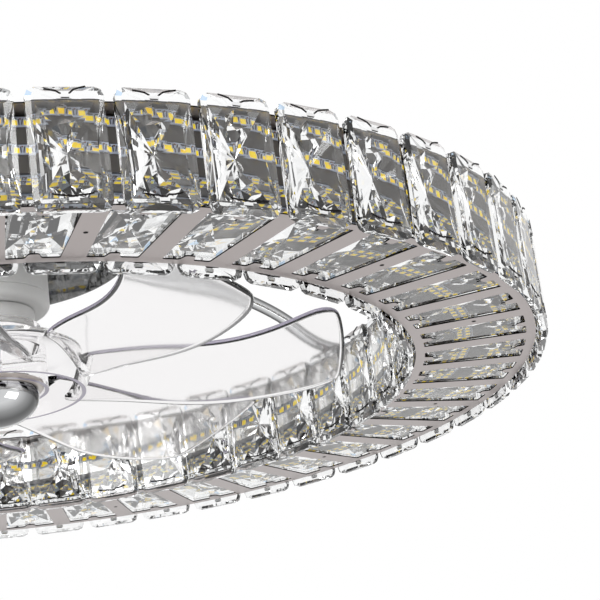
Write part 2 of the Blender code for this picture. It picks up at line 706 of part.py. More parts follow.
def motor_housing():
    """Cup that hangs under the canopy, with a collar for the upper bearing and three screw holes."""
    bm = bmesh.new()
    wall_r = MOTOR_R - MOTOR_WALL
    seat_r = BEARING_R + TOUCH_GAP
    section = (
        (0.0, MOTOR_TOP_Z), (MOTOR_R, MOTOR_TOP_Z), (MOTOR_R, COVER_TOP_Z + TOUCH_GAP),
        (wall_r, COVER_TOP_Z + TOUCH_GAP), (wall_r, MOTOR_CEILING_Z),
        (seat_r + COLLAR_WALL, MOTOR_CEILING_Z), (seat_r + COLLAR_WALL, COLLAR_Z),
        (seat_r, COLLAR_Z), (seat_r, MOTOR_CEILING_Z), (0.0, MOTOR_CEILING_Z),
    )
    turn_profile(bm, section, MOTOR_SEGMENTS)
    housing = add_object("motor_housing", bm, GREY_PAINT)
    cuts = bmesh.new()
    for place in motor_screw_places():
        add_rod(cuts, MOTOR_SCREW_R + TOUCH_GAP, MOTOR_CEILING_Z - CUT_OVERRUN, MOTOR_TOP_Z + CUT_OVERRUN, 8, place)
    combine(housing, add_guide("housing_cutter", cuts), "DIFFERENCE")


def motor_cover():
    """Lower cover with a rounded edge and the seat of the lower bearing."""
    bm = bmesh.new()
    seat_r = BEARING_R + TOUCH_GAP
    edge = arc_points(MOTOR_R - COVER_EDGE, COVER_Z + COVER_EDGE, COVER_EDGE, 0, -90, 2)
    section = [(seat_r, COVER_TOP_Z), (MOTOR_R, COVER_TOP_Z)] + edge + [(seat_r, COVER_Z)]
    turn_profile(bm, section, MOTOR_SEGMENTS)
    add_object("motor_cover", bm, GREY_PAINT)


def bearings():
    for name, low_z in (("bearing_upper", COLLAR_Z), ("bearing_lower", COVER_TOP_Z - BEARING_H)):
        bm = bmesh.new()
        turn_profile(bm, band_profile(BORE_R, BEARING_R, low_z, low_z + BEARING_H), SHAFT_SEGMENTS)
        add_object(name, bm, BEARING_STEEL)


def stator_core():
    bm = bmesh.new()
    out_r = (MOTOR_R - MOTOR_WALL) * cos(pi / MOTOR_SEGMENTS) - TOUCH_GAP
    turn_profile(bm, band_profile(STATOR_IN_R, out_r, STATOR_Z, STATOR_Z + STATOR_H), MOTOR_SEGMENTS)
    add_object("stator_core", bm, DARK_IRON)


def stator_winding():
    """Winding inside the stator core, a plain ring with room for the magnet."""
    bm = bmesh.new()
    middle_z = STATOR_Z + STATOR_H / 2
    out_r = STATOR_IN_R * cos(pi / MOTOR_SEGMENTS) - TOUCH_GAP
    section = band_profile(MAGNET_R + AIR_GAP, out_r, middle_z - WINDING_H / 2, middle_z + WINDING_H / 2)
    turn_profile(bm, section, MOTOR_SEGMENTS)
    add_object("stator_winding", bm, COPPER)


def rotor_magnet():
    bm = bmesh.new()
    middle_z = STATOR_Z + STATOR_H / 2
    section = band_profile(BORE_R, MAGNET_R, middle_z - WINDING_H / 2, middle_z + WINDING_H / 2)
    turn_profile(bm, section, SHAFT_SEGMENTS)
    add_object("rotor_magnet", bm, DARK_IRON)


def motor_shaft():
    bm = bmesh.new()
    add_rod(bm, SHAFT_R, SHAFT_END_Z, SHAFT_TOP_Z, SHAFT_SEGMENTS, around(90))
    add_object("motor_shaft", bm, BEARING_STEEL)


def motor_screws():
    """Screws from inside the canopy down into the top of the motor housing."""
    head_z = CANOPY_FLOOR_Z + TOUCH_GAP
    section = (
        (0.0, head_z + MOTOR_HEAD_T), (MOTOR_HEAD_R, head_z + MOTOR_HEAD_T), (MOTOR_HEAD_R, head_z),
        (MOTOR_SCREW_R, head_z), (MOTOR_SCREW_R, MOTOR_CEILING_Z), (0.0, MOTOR_CEILING_Z),
    )
    for number, place in enumerate(motor_screw_places(), 1):
        add_turned_piece("motor_screw_" + str(number), section, 8, place, ZINC_STEEL)


# Rotor

def rotor_boss():
    bm = bmesh.new()
    turn_profile(bm, band_profile(BORE_R, BOSS_R, BOSS_END_Z, BOSS_TOP_Z), MOTOR_SEGMENTS)
    add_object("rotor_boss", bm, GREY_PAINT)


def petal_point(row, across):
    """A point of a petal's middle surface: across is 0 on the high edge and 1 on the low edge."""
    along, high_turn, low_turn, high_share, low_share = row
    root_r = HUB_R * cos(pi / HUB_SEGMENTS) - PETAL_ROOT_SINK
    radius = root_r + (PETAL_TIP_R - root_r) * along
    turn = 2 * pi * (high_turn + (low_turn - high_turn) * across)
    rounded = across * across * (3 - 2 * across)
    fall = rounded + (across - rounded) * along
    height = PETAL_LOW_Z + PETAL_RISE * (high_share + (low_share - high_share) * fall)
    return Vector((radius * sin(turn), -radius * cos(turn), height))


def petals_guide():
    """Seven twisted petals, each a sheet that gets its thickness from a Solidify modifier."""
    bm = bmesh.new()
    for index in range(PETALS):
        place = around(PETAL_FIRST_DEG + 360 * index / PETALS)
        rows = [[bm.verts.new(place @ petal_point(row, step / PETAL_ACROSS)) for step in range(PETAL_ACROSS + 1)]
                for row in PETAL_ROW_shares]
        for near, far in zip(rows, rows[1:]):
            for step in range(PETAL_ACROSS):
                bm.faces.new((near[step], near[step + 1], far[step + 1], far[step]))
    guide = add_guide("petals_guide", bm)
    solidify = guide.modifiers.new("thickness", "SOLIDIFY")
    solidify.thickness = PETAL_T
    solidify.offset = 0.0
    return guide


def impeller():
    """Clear hub, a cup with an inner tube and a socket for the boss, and its petals in one moulding."""
    bm = bmesh.new()
    roof_low_z = HUB_ROOF_Z - HUB_WALL
    cup_r = HUB_R - HUB_WALL
    socket_r = BOSS_R + TOUCH_GAP
    tube_r = INNER_TUBE_R - HUB_WALL
    section = (
        (BORE_R, SOCKET_FLOOR_Z), (socket_r, SOCKET_FLOOR_Z), (socket_r, SOCKET_FLOOR_Z + SOCKET_LIP),
        (socket_r + SOCKET_WALL, SOCKET_FLOOR_Z + SOCKET_LIP), (SOCKET_FOOT_R, HUB_ROOF_Z),
        (HUB_R - HUB_EDGE, HUB_ROOF_Z), (HUB_R, HUB_ROOF_Z - HUB_EDGE), (HUB_R, HUB_RIM_Z),
        (cup_r, HUB_RIM_Z), (cup_r, roof_low_z), (INNER_TUBE_R, roof_low_z),
        (INNER_TUBE_R, HUB_FLOOR_Z - INNER_TUBE_LIP), (tube_r, HUB_FLOOR_Z - INNER_TUBE_LIP),
        (tube_r, HUB_FLOOR_Z), (BORE_R, HUB_FLOOR_Z),
    )
    turn_profile(bm, section, HUB_SEGMENTS)
    hub = add_object("impeller", bm, CLEAR_PLASTIC)
    combine(hub, petals_guide(), "UNION")


def cap_washer():
    bm = bmesh.new()
    turn_profile(bm, band_profile(BORE_R, WASHER_R, WASHER_Z, WASHER_Z + WASHER_T), HUB_SEGMENTS)
    add_object("cap_washer", bm, BEIGE_RING)


def hub_cap():
    """Chrome dome nut with a blind bore for the end of the shaft."""
    bm = bmesh.new()
    lip_z = CAP_TOP_Z - CAP_LIP_H
    steps = [pi / 2 * step / CAP_STEPS for step in range(CAP_STEPS + 1)]
    dome = [(CAP_R * cos(angle), lip_z - CAP_DOME_H * sin(angle)) for angle in steps[:-1]]
    bore_end_z = SHAFT_END_Z - TOUCH_GAP
    section = [(0.0, bore_end_z), (BORE_R, bore_end_z), (BORE_R, CAP_TOP_Z), (CAP_R, CAP_TOP_Z)]
    section += dome + [(0.0, lip_z - CAP_DOME_H)]
    turn_profile(bm, section, HUB_SEGMENTS)
    add_object("hub_cap", bm, MIRROR_CHROME)


# Arms

def rod_course():
    """Centre line of a rod in its own plane: distance from the axis and height."""
    reach = ROD_END_R - CANOPY_R
    fall = -ROD_DROP - ROD_END_Z
    course = [(CANOPY_R + reach * out, -ROD_DROP - fall * down) for out, down in ROD_COURSE_shares]
    return [(CANOPY_R - ROD_INSIDE, -ROD_DROP)] + course


def arm_rods():
    for index, angle in enumerate(arm_angles()):
        name = "arm_rod_" + str(index + 1)
        curve = bpy.data.curves.new(name, "CURVE")
        curve.dimensions = "3D"
        curve.bevel_depth = ROD_R
        curve.bevel_resolution = ROD_SEGMENTS // 2 - 2
        curve.use_fill_caps = True
        course = rod_course()
        spline = curve.splines.new("POLY")
        spline.points.add(len(course) - 1)
        for point, (radius, height) in zip(spline.points, course):
            point.co = (*(around(angle) @ Vector((0, -radius, height))), 1.0)
        obj = bpy.data.objects.new(name, curve)
        bpy.context.scene.collection.objects.link(obj)
        give_finish(obj, MIRROR_CHROME)


def arm_nuts():
    """Nuts on the rods' inner ends, where the canopy's rounded edge begins, with a flat side down."""
    outer_r = (CANOPY_R - CANOPY_EDGE) * cos(pi / CANOPY_SEGMENTS)
    bore_r = (ROD_R + TOUCH_GAP) / cos(pi / NUT_SIDES)
    section = band_profile(bore_r, NUT_R, outer_r - NUT_T, outer_r)
    for number, angle in enumerate(arm_angles(), 1):
        place = outward_bar(0.0, -ROD_DROP, angle) @ around(180 / NUT_SIDES)
        add_turned_piece("arm_nut_" + str(number), section, NUT_SIDES, place, ZINC_STEEL)


def arm_feet():
    """Flat feet of the arms on the ring's top plate, with their outer corners cut."""
    half_w = FOOT_W / 2
    outline = (
        (-half_w, -FOOT_IN_R), (-half_w, FOOT_CORNER - FOOT_OUT_R), (FOOT_CORNER - half_w, -FOOT_OUT_R),
        (half_w - FOOT_CORNER, -FOOT_OUT_R), (half_w, FOOT_CORNER - FOOT_OUT_R), (half_w, -FOOT_IN_R),
    )
    for number, angle in enumerate(arm_angles(), 1):
        bm = bmesh.new()
        add_prism(bm, outline, FOOT_Z, FOOT_TOP_Z, around(angle))
        add_object("arm_foot_" + str(number), bm, MIRROR_CHROME)


def foot_screws():
    middle_r = (FOOT_IN_R + FOOT_OUT_R) / 2
    low_z = FOOT_TOP_Z + TOUCH_GAP
    for number, angle in enumerate(arm_angles(), 1):
        for letter, side in (("a", -1), ("b", 1)):
            bm = bmesh.new()
            place = around(angle) @ Matrix.Translation((side * FOOT_SCREW_PLACE, -middle_r, 0))
            add_rod(bm, FOOT_SCREW_R, low_z, low_z + FOOT_SCREW_T, 8, place)
            add_object("foot_screw_" + str(number) + letter, bm, ZINC_STEEL)


def main():
    clear_scene()
    bottom_plate()
    top_plate()
    core_channel()
    wall_strips()
    floor_strip()
    ceiling_bracket()
    canopy_shell()
    canopy_screws()
    control_boxes()
    terminal_block()
    motor_housing()
    motor_cover()
    bearings()
    stator_core()
    stator_winding()
    rotor_magnet()
    motor_shaft()
    motor_screws()
    rotor_boss()
    impeller()
    cap_washer()
    hub_cap()
    arm_rods()
    arm_nuts()
    arm_feet()
    foot_screws()


main()
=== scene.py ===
"""Looks of the crystal ceiling fan, laid out as an add-on with one operator for each group of pieces.

Lengths are in metres. Angles round the lamp are counted from the near side (-Y) towards +X.
"""

from math import asin, atan2, cos, hypot, pi, radians, sin

import bmesh
import bpy
from mathutils import Matrix, Vector


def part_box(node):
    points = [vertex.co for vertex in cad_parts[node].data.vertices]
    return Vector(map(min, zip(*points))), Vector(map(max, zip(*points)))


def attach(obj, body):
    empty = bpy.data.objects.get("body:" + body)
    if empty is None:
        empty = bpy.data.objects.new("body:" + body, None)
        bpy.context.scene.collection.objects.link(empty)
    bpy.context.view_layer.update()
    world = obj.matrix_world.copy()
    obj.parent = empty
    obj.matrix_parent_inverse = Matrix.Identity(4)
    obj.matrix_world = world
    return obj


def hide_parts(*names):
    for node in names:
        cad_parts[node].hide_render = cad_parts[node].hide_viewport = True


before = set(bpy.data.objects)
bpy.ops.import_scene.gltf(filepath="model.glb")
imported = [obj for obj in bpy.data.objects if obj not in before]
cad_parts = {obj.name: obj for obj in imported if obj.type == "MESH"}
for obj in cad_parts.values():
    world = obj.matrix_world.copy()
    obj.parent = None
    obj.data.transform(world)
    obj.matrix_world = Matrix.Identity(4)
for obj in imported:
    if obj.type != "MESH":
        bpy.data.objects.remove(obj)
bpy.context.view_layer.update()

bl_info = {
    "name": "Crystal ceiling fan",
    "version": (1, 0, 0),
    "blender": (4, 5, 0),
    "location": "3D View > Sidebar > Crystal fan",
    "description": "Builds the crystal ring, clear fan, canopy and stage of a crystal ceiling fan",
    "category": "Object",
}

STATIC = "frame"
ROTOR = "fan_rotor"
NO_GAP = 0.000001


def levels(box):
    """Lowest and highest level of a box."""
    return [corner.z for corner in box]


UPPER_LOW, UPPER_HIGH = levels(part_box("top_plate_and_crystals"))
PLATE_LOW = levels(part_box("bottom_plate_and_crystals"))[0]
CORE_HIGH = levels(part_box("core_channel"))[1]
CANOPY_LOW = levels(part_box("canopy_shell"))[0]
HOUSING_HIGH = levels(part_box("motor_housing"))[1]
COVER_LOW, COVER_HIGH = levels(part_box("motor_cover"))
BOSS_LOW, BOSS_HIGH = levels(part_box("rotor_boss"))
WASHER_LOW, WASHER_HIGH = levels(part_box("cap_washer"))
CAP_LOW, CAP_HIGH = levels(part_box("hub_cap"))
SHAFT_LOW = levels(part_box("motor_shaft"))[0]


# Settings that the user can change; a description goes on from the name

def length(name, value, rest):
    """A length in metres."""
    return bpy.props.FloatProperty(name=name, description=name + " " + rest, default=value, unit="LENGTH",
                                   precision=4)


def number(name, value, rest):
    """A plain number, such as an angle in degrees."""
    return bpy.props.FloatProperty(name=name, description=name + " " + rest, default=value)


def count(name, value, rest):
    """A number of pieces."""
    return bpy.props.IntProperty(name=name, description=name + " " + rest, default=value, min=1)


def share(name, value, rest):
    """A share of a whole."""
    return bpy.props.FloatProperty(name=name, description=name + " " + rest, default=value, min=0.0,
                                   subtype="FACTOR")


def colour(name, value):
    """The colour of a finish."""
    return bpy.props.FloatVectorProperty(name=name, description="Colour of the finish " + name, default=value,
                                         size=3, min=0.0, max=1.0, subtype="COLOR")


class CrystalSizes(bpy.types.PropertyGroup):
    """Sizes of the star-cut bricks and their clips."""
    width: length("Width", 0.030, "of a crystal brick")
    height: length("Length", 0.050, "of a crystal brick")
    corner: length("Corner radius", 0.0036, "of a brick's front")
    rim_width: length("Rim width", 0.0022, "round a brick's front")
    rim_depth: length("Rim depth", 0.0011, "from the front to the straight sides")
    band: length("Edge band", 0.0036, "from the front to the end of the straight sides")
    cut_width: length("Cut width", 0.0226, "in the back of a brick")
    cut_height: length("Cut height", 0.0388, "in the back of a brick")
    edge_depth: length("Edge depth", 0.0038, "of the cut at its outline")
    edge_break: length("Edge break", 0.0009, "up and down along an upright crystal's outline")
    cut_depth: length("Cut depth", 0.0114, "in an upright crystal's middle")
    cut_break: length("Cut break", 0.0044, "of an upright crystal's facets towards its ends")
    lower_depth: length("Lower depth", 0.0113, "of the cut in a lower crystal's middle")
    lower_break: length("Lower break", 0.0044, "of a lower crystal's facets towards its ends")
    # The blue and amber facets are painted glints of colour that stand in for the crystal's fire
    fire: share("Fire", 0.03, "as the share of blue facets and again of amber ones")
    outer_front: length("Outer front", 0.2731, "from the axis")
    inner_front: length("Inner front", 0.2031, "from the axis")
    outer_count: count("Outer crystals", 50, "round the ring")
    inner_count: count("Inner crystals", 40, "round the fan")
    outer_start: number("Outer start", 0.05, "in degrees round the axis")
    inner_start: number("Inner start", 8.5, "in degrees round the axis")
    clip_set: length("Clip set", 0.0041, "from a crystal's end to a clip's middle")
    # The wings are painted refraction lines of a plate's dark edge, drawn as thin black strips on the
    # crystals' fronts
    wing_width: length("Wing width", 0.00065, "of a clip's wire")
    wing_thick: length("Wing thickness", 0.00025, "of a clip's wire")
    nub_width: length("Nub width", 0.0040, "in the middle of a clip")
    nub_height: length("Nub height", 0.0013, "in the middle of a clip")


class RingSizes(bpy.types.PropertyGroup):
    """Sizes of the ring's plates and light strips."""
    out_radius: length("Outer radius", 0.2676, "of the ring plates")
    in_radius: length("Inner radius", 0.2087, "of the ring plates")
    thickness: length("Thickness", 0.0006, "of the ring plates")
    height: length("Height", 0.0425, "over both ring plates")
    crystal_clear: length("Clearance", 0.0002, "between the bottom plate and its crystals")
    windows: count("Windows", 42, "in the bottom plate")
    window_out: length("Window outer radius", 0.2630, "at the windows' ends")
    window_in: length("Window inner radius", 0.2132, "at the windows' ends")
    bar_width: length("Bar width", 0.0102, "between the windows")
    first_bar: number("First bar", 0.85, "in degrees round the axis")
    window_corner: length("Window corner", 0.0009, "as a rounding")
    tongue_root: length("Tongue root", 0.0066, "across, at a window's end")
    tongue_tip: length("Tongue tip", 0.0042, "across, inside a window")
    tongue_length: length("Tongue length", 0.0044, "into a window")
    hook_length: length("Hook length", 0.0022, "at a tongue's tip")
    hook_width: length("Hook width", 0.0006, "at a tongue's tip")
    strip_width: length("Strip width", 0.0040, "of a light strip's board")
    strip_thick: length("Strip thickness", 0.0006, "of a light strip's board")
    core_out: length("Core outer radius", 0.2580, "of the channel with the light strips")
    core_in: length("Core inner radius", 0.2180, "of the channel with the light strips")
    core_skin: length("Core skin", 0.0010, "of the channel's walls")
    edge_room: length("Edge room", 0.0020, "from the channel's edge to the outer floor strip")
    post_radius: length("Post radius", 0.0022, "under the channel")
    chip_pitch: length("Chip pitch", 0.0049, "along a strip")
    chip_width: length("Chip width", 0.0028, "along a strip")
    chip_height: length("Chip height", 0.0023, "across a strip")
    chip_drop: length("Chip drop", 0.0005, "from the middle of a board")
    chip_thick: length("Chip thickness", 0.0004, "off a board")
    shadow_line: length("Shadow line", 0.0004, "over a board")
    dot_radius: length("Rivet radius", 0.0010, "of the dark ends in the bars")
    dot_circle: length("Rivet circle", 0.2400, "round the axis")


class FanSizes(bpy.types.PropertyGroup):
    """Sizes of the clear fan."""
    petals: count("Petals", 7, "of the fan")
    petal_thick: length("Petal thickness", 0.0017, "of the clear plastic")
    petal_tip: length("Petal tip", 0.175, "from the axis")
    petal_root: length("Petal root", 0.0441, "from the axis")
    petal_low: length("Petal low level", -0.1038, "at the lowest line")
    petal_rise: length("Petal rise", 0.0236, "from the lowest line to the highest")
    hub_radius: length("Hub radius", 0.0452, "over the wall")
    hub_wall: length("Hub wall", 0.0020, "in thickness")
    hub_roof: length("Hub roof", -0.0770, "as a level")
    roof_edge: length("Roof edge", 0.0018, "of the bevel round the hub's roof")
    roof_cut: length("Roof cut", 0.0005, "in the middle of that bevel")
    hub_rim: length("Hub rim", -0.1005, "as a level")
    hub_floor: length("Hub floor", -0.0947, "as a level")
    tube_radius: length("Inner tube", 0.0270, "in radius")
    tube_lip: length("Tube lip", 0.0033, "below the hub's floor")
    socket_lip: length("Socket lip", 0.0028, "up round the boss")
    socket_foot: length("Socket foot", 0.0015, "in from the boss's side")
    clearance: length("Clearance", 0.0003, "round the boss and under the shaft")
    boss_radius: length("Boss radius", 0.0230, "over the side")
    boss_edge: length("Boss edge", 0.0006, "of the lower bevel")
    boss_bore: length("Bore", 0.0043, "in radius, for the shaft")
    washer_radius: length("Ring radius", 0.0246, "of the beige ring")
    washer_edge: length("Ring edge", 0.0012, "of the beige ring's rounding")
    cap_radius: length("Cap radius", 0.0220, "of the chrome cap")
    cap_lip: length("Cap lip", 0.0030, "in height")


class MountSizes(bpy.types.PropertyGroup):
    """Sizes of the canopy, the motor and the arms."""
    canopy_radius: length("Canopy radius", 0.0750, "over the wall")
    canopy_wall: length("Canopy wall", 0.0015, "in thickness")
    canopy_edge: length("Canopy edge", 0.0040, "of the lower rounding")
    wire_hole: length("Wire hole", 0.0060, "in radius, in the canopy's floor")
    motor_radius: length("Motor radius", 0.0310, "over the wall")
    motor_wall: length("Motor wall", 0.0020, "in thickness")
    cover_edge: length("Cover edge", 0.0035, "of the motor cover's rounding")
    seam: length("Seam", 0.0004, "in depth, between housing and cover")
    seam_rise: length("Seam rise", 0.0006, "up the housing")
    seam_gap: length("Seam gap", 0.0001, "between housing and cover")
    bearing_seat: length("Bearing seat", 0.0093, "in radius")
    rod_radius: length("Rod radius", 0.0034, "of an arm")
    rod_drop: length("Rod drop", 0.0242, "from the ceiling to a rod's start")
    rod_inside: length("Rod inside", 0.0110, "the canopy, as a length")
    rod_end_radius: length("Rod end", 0.2360, "from the axis")
    rod_end_level: length("Rod end level", -0.0575, "on the ring")
    first_arm: number("First arm", -2.0, "in degrees round the axis")
    arms: count("Arms", 3, "that carry the ring")


# Finishes: name, colour, roughness, metallic, size and strength of the mottle, and what sets them apart
GLASS = {"Transmission_Weight": 1.0, "IOR": 1.60, "spread": 0.0}
FINISHES = (
    ("Crystal", (0.985, 0.99, 0.99), 0.0, 0.0, 60.0, 0.02, GLASS),
    # Blue and amber tinted glass for a few facets: painted glints of the crystal's fire
    ("Blue fire", (0.42, 0.66, 1.0), 0.0, 0.0, 60.0, 0.02, GLASS),
    ("Amber fire", (1.0, 0.80, 0.50), 0.0, 0.0, 60.0, 0.02, GLASS),
    ("Plate", (0.40, 0.355, 0.345), 0.30, 0.75, 30.0, 0.10, {}),
    # Near black for the plates' edges, the hooks and rivet ends, and the clips' painted refraction lines
    ("Cut edge", (0.012, 0.010, 0.010), 0.60, 0.0, 200.0, 0.60, {"Specular_IOR_Level": 0.1}),
    # White nub: a painted glint on a clip's steel claw
    ("Nub", (0.9, 0.9, 0.9), 0.25, 0.0, 300.0, 0.10, {}),
    ("Core", (0.042, 0.034, 0.027), 0.38, 0.0, 45.0, 0.25, {"Specular_IOR_Level": 0.8}),
    ("Core lining", (0.060, 0.054, 0.050), 0.30, 0.5, 35.0, 0.20, {}),
    ("Inner wall", (0.86, 0.85, 0.84), 0.18, 1.0, 35.0, 0.20, {}),
    ("Small part", (0.16, 0.035, 0.010), 0.40, 0.0, 400.0, 0.50, {}),
    ("Board", (0.50, 0.55, 0.66), 0.40, 0.0, 180.0, 0.25, {}),
    # Near black for the tracks by the chips, and for the painted shadow line over each board
    ("Track", (0.018, 0.018, 0.026), 0.40, 0.0, 180.0, 0.30, {}),
    ("Chip", (0.86, 0.86, 0.84), 0.35, 0.0, 300.0, 0.10, {}),
    # Yellow phosphor with a weak painted glow
    ("Phosphor", (0.98, 0.70, 0.01), 0.45, 0.0, 700.0, 0.35, {"glow": 0.35}),
    ("Motor paint", (0.68, 0.68, 0.67), 0.50, 0.0, 900.0, 0.06, {"bump": 0.15}),
    ("Chrome", (0.86, 0.87, 0.88), 0.04, 1.0, 25.0, 0.03, {"spread": 0.03}),
    ("Petal", (0.915, 0.903, 0.905), 0.05, 0.0, 12.0, 0.01, {**GLASS, "IOR": 1.49, "spread": 0.04}),
    # Opaque violet-grey for the high edges of the petals and the hub's rims: painted shade
    ("Petal edge", (0.36, 0.33, 0.42), 0.20, 0.0, 90.0, 0.20, {"IOR": 1.49}),
    ("Hub", (0.955, 0.950, 0.952), 0.02, 0.0, 12.0, 0.01, {**GLASS, "IOR": 1.12, "spread": 0.02}),
    ("Beige ring", (0.60, 0.54, 0.50), 0.25, 0.0, 40.0, 0.08, {}),
    ("Zinc", (0.62, 0.63, 0.64), 0.38, 1.0, 120.0, 0.18, {}),
    ("White plastic", (0.82, 0.82, 0.80), 0.50, 0.0, 500.0, 0.06, {"bump": 0.1}),
    ("Copper", (0.60, 0.28, 0.12), 0.35, 1.0, 300.0, 0.30, {}),
    ("Iron", (0.08, 0.08, 0.085), 0.50, 0.6, 150.0, 0.30, {}),
    ("Bearing steel", (0.62, 0.63, 0.64), 0.18, 1.0, 90.0, 0.08, {}),
    ("Floor", (0.82, 0.82, 0.81), 0.70, 0.0, 2.0, 0.03, {}),
)


def setting_of(finish_name):
    """Name of the setting that holds a finish's colour."""
    return finish_name.lower().replace(" ", "_")


class Finishes(bpy.types.PropertyGroup):
    """Colours of the finishes."""
    __annotations__ = {setting_of(name): colour(name, base) for name, base, *_ in FINISHES}


class StageSizes(bpy.types.PropertyGroup):
    """Camera, lights and floor."""
    camera_y: length("Camera distance", -0.94948, "along Y")
    camera_z: length("Camera height", -0.38009, "over the ceiling")
    pan: number("Pan", -9.440, "of the camera in degrees")
    tilt: number("Tilt", 18.316, "of the camera in degrees")
    roll: number("Roll", 7.420, "of the camera in degrees")
    lens: number("Lens", 118.80, "in millimetres")
    sensor: number("Sensor width", 36.0, "in millimetres")
    floor_level: length("Floor level", -3.0, "from the ceiling")
    floor_half: length("Floor half width", 7.5, "of the stage")
    key_power: number("Key power", 14.0, "in watts")
    fill_power: number("Fill power", 6.0, "in watts")
    sky: share("Sky", 0.62, "as the strength of the light from all round")


# Rays of the star cut in a brick's back, and steps from its middle to its outline
STAR_RAYS = 24
STAR_STEPS = 4

# A ray towards an end reaches less far to the side than this share of the cut's width
END_REACH = 0.45

# Wander of the facets on those rays, as shares of the cut's width and of its height
WANDER_WIDTH = 0.04
WANDER_HEIGHT = 0.12

# Least part of a ray that is taken to run along the width or the height
LEAST_WAY = 0.01

# Faces whose normal rises less than this count as upright, and faces this close to a level as lying on it
UPRIGHT = 0.5
LEVEL_SLACK = 0.0001

# Steps round the axis
RING_STEPS = 168
CANOPY_STEPS = 128
HUB_STEPS = 112
MOTOR_STEPS = 96
BOSS_STEPS = 72
POST_SIDES = 16

# Steps of the roundings and the dome in a section
EDGE_STEPS = 8
INNER_EDGE_STEPS = 6
WASHER_EDGE_STEPS = 5
DOME_STEPS = 20

# Steps across a petal
PETAL_ACROSS = 6

# Bars over which a post stands, and the step to the next ones
POST_BARS = (5, 8)
POST_BAR_STEP = 7

# Clips that differ take turns round the ring
CLIP_KINDS = 5

# Thin dark bar below a nub: its width and drop as shares of the nub's sizes, its height as a share of a
# painted line's width
NUB_BAR = (0.8, 0.7, 0.5)

# Part of its width by which a piece of painted line laps over the next
LINE_LAP = 0.6

# Least reach and rise of a wing and how far they vary
WING_REACH = (0.8, 0.25)
WING_RISE = (0.45, 0.8)

# Courses of a clip's painted refraction lines from its middle outwards, along the edge and towards it, in
# units of 10 mm
LINE_UNIT = 0.01
TOP_LINE = ((0.20, 0.02), (0.40, 0.15), (0.66, 0.21), (0.92, 0.25))
LOW_LINE = ((0.11, 0.06), (0.21, 0.12), (0.50, 0.14), (0.86, 0.22))

# Tracks and a small part beside a light chip: width, height, place along the strip and up from its middle,
# all as shares of the strip's width, then lean in degrees, layers in depth and finish
CHIP_MARKS = (
    (0.10, 0.62, -0.47, 0.01, 12, 1, 1),
    (0.10, 0.62, 0.47, 0.01, -4, 1, 1),
    (0.42, 0.11, 0.07, 0.36, 0, 1, 1),
    (0.16, 0.13, 0.6125, 0.30, 0, 2, 4),
)

# Light chips that are copied at a time, and the share of a chip's height that frames its face
CHIP_GROUP = 18
CHIP_FRAME = 0.09

# Rows of a petal from hub to tip, in shares: place along it, high and low edge of a turn, their heights
PETAL_ROWS = (
    (0.00, 0.095, 0.222, 0.97, 0.35),
    (0.20, 0.084, 0.179, 0.93, 0.28),
    (0.40, 0.080, 0.158, 0.76, 0.06),
    (0.60, 0.075, 0.150, 0.67, 0.01),
    (0.80, 0.066, 0.135, 0.77, 0.02),
    (0.93, 0.054, 0.125, 0.83, 0.05),
    (1.00, 0.061, 0.116, 0.84, 0.10),
)

# Course of a rod, as shares of the way out and of the way down
ROD_COURSE = (
    (0.00, 0.00), (0.19, 0.06), (0.34, 0.12), (0.45, 0.20), (0.55, 0.32), (0.64, 0.48),
    (0.71, 0.66), (0.77, 0.84), (0.83, 0.96), (0.90, 1.00), (1.00, 1.00),
)

# Painted reflection on the chrome: its brightness from face on to aslant; it ends white
PAINTED_REFLECTION_LEVELS = ((0.0, 0.70), (0.12, 0.74), (0.30, 0.35), (0.50, 0.12), (0.74, 0.10), (0.86, 0.80))

CRYSTAL_FINISHES = ("Crystal", "Blue fire", "Amber fire")
STRIP_FINISHES = ("Board", "Track", "Chip", "Phosphor", "Small part")

# Depth of the bumps in a finish
BUMP_DEPTH = 0.0002

# The floor fades to white between these shares of its half width
FADE = (0.45, 0.95)

# Lamps: name, place, side and setting of the power; all look at one point
LAMPS = (("key", (-0.9, -1.1, 0.5), 0.8, "key_power"), ("fill", (1.1, -0.9, -0.9), 0.9, "fill_power"))
LAMP_AIM = (0, 0, -0.09)


# Helpers for shapes

def around(degrees_round):
    """Turn about the lamp's axis."""
    return Matrix.Rotation(radians(degrees_round), 4, "Z")


def front_place(degrees_round, radius, level, inward):
    """Place on a wall round the axis whose -Y looks outwards, or inwards."""
    place = around(degrees_round) @ Matrix.Translation((0, -radius, level))
    return place @ around(180) if inward else place


def to_mesh(name, bm):
    """Turn a bmesh into a mesh."""
    mesh = bpy.data.meshes.new(name)
    bm.to_mesh(mesh)
    bm.free()
    return mesh


def add_object(name, data):
    """Put a new object into the scene."""
    obj = bpy.data.objects.new(name, data)
    bpy.context.scene.collection.objects.link(obj)
    return obj


def make_piece(name, bm, finishes, body, replaced=(), smooth_deg=30.0):
    """Turn a finished bmesh into a piece that rides on a body."""
    bmesh.ops.recalc_face_normals(bm, faces=bm.faces)
    obj = add_object(name, to_mesh(name, bm))
    obj.data.shade_smooth()
    obj.data.set_sharp_from_angle(angle=radians(smooth_deg))
    for finish_name in finishes:
        obj.data.materials.append(bpy.data.materials[finish_name])
    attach(obj, body)
    if replaced:
        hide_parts(*replaced)
    return obj


def keep_shape(obj):
    """Make the shape that an object's modifiers give it its own, and return its faces."""
    bpy.context.view_layer.update()
    obj.data = bpy.data.meshes.new_from_object(obj.evaluated_get(bpy.context.evaluated_depsgraph_get()))
    obj.modifiers.clear()
    return obj.data.polygons


def is_upright(face):
    """Whether a face stands upright."""
    return abs(face.normal.z) < UPRIGHT


def mark_edges(faces):
    """Give the upright faces of a plate its second finish."""
    for face in faces:
        face.material_index = 1 if is_upright(face) else 0


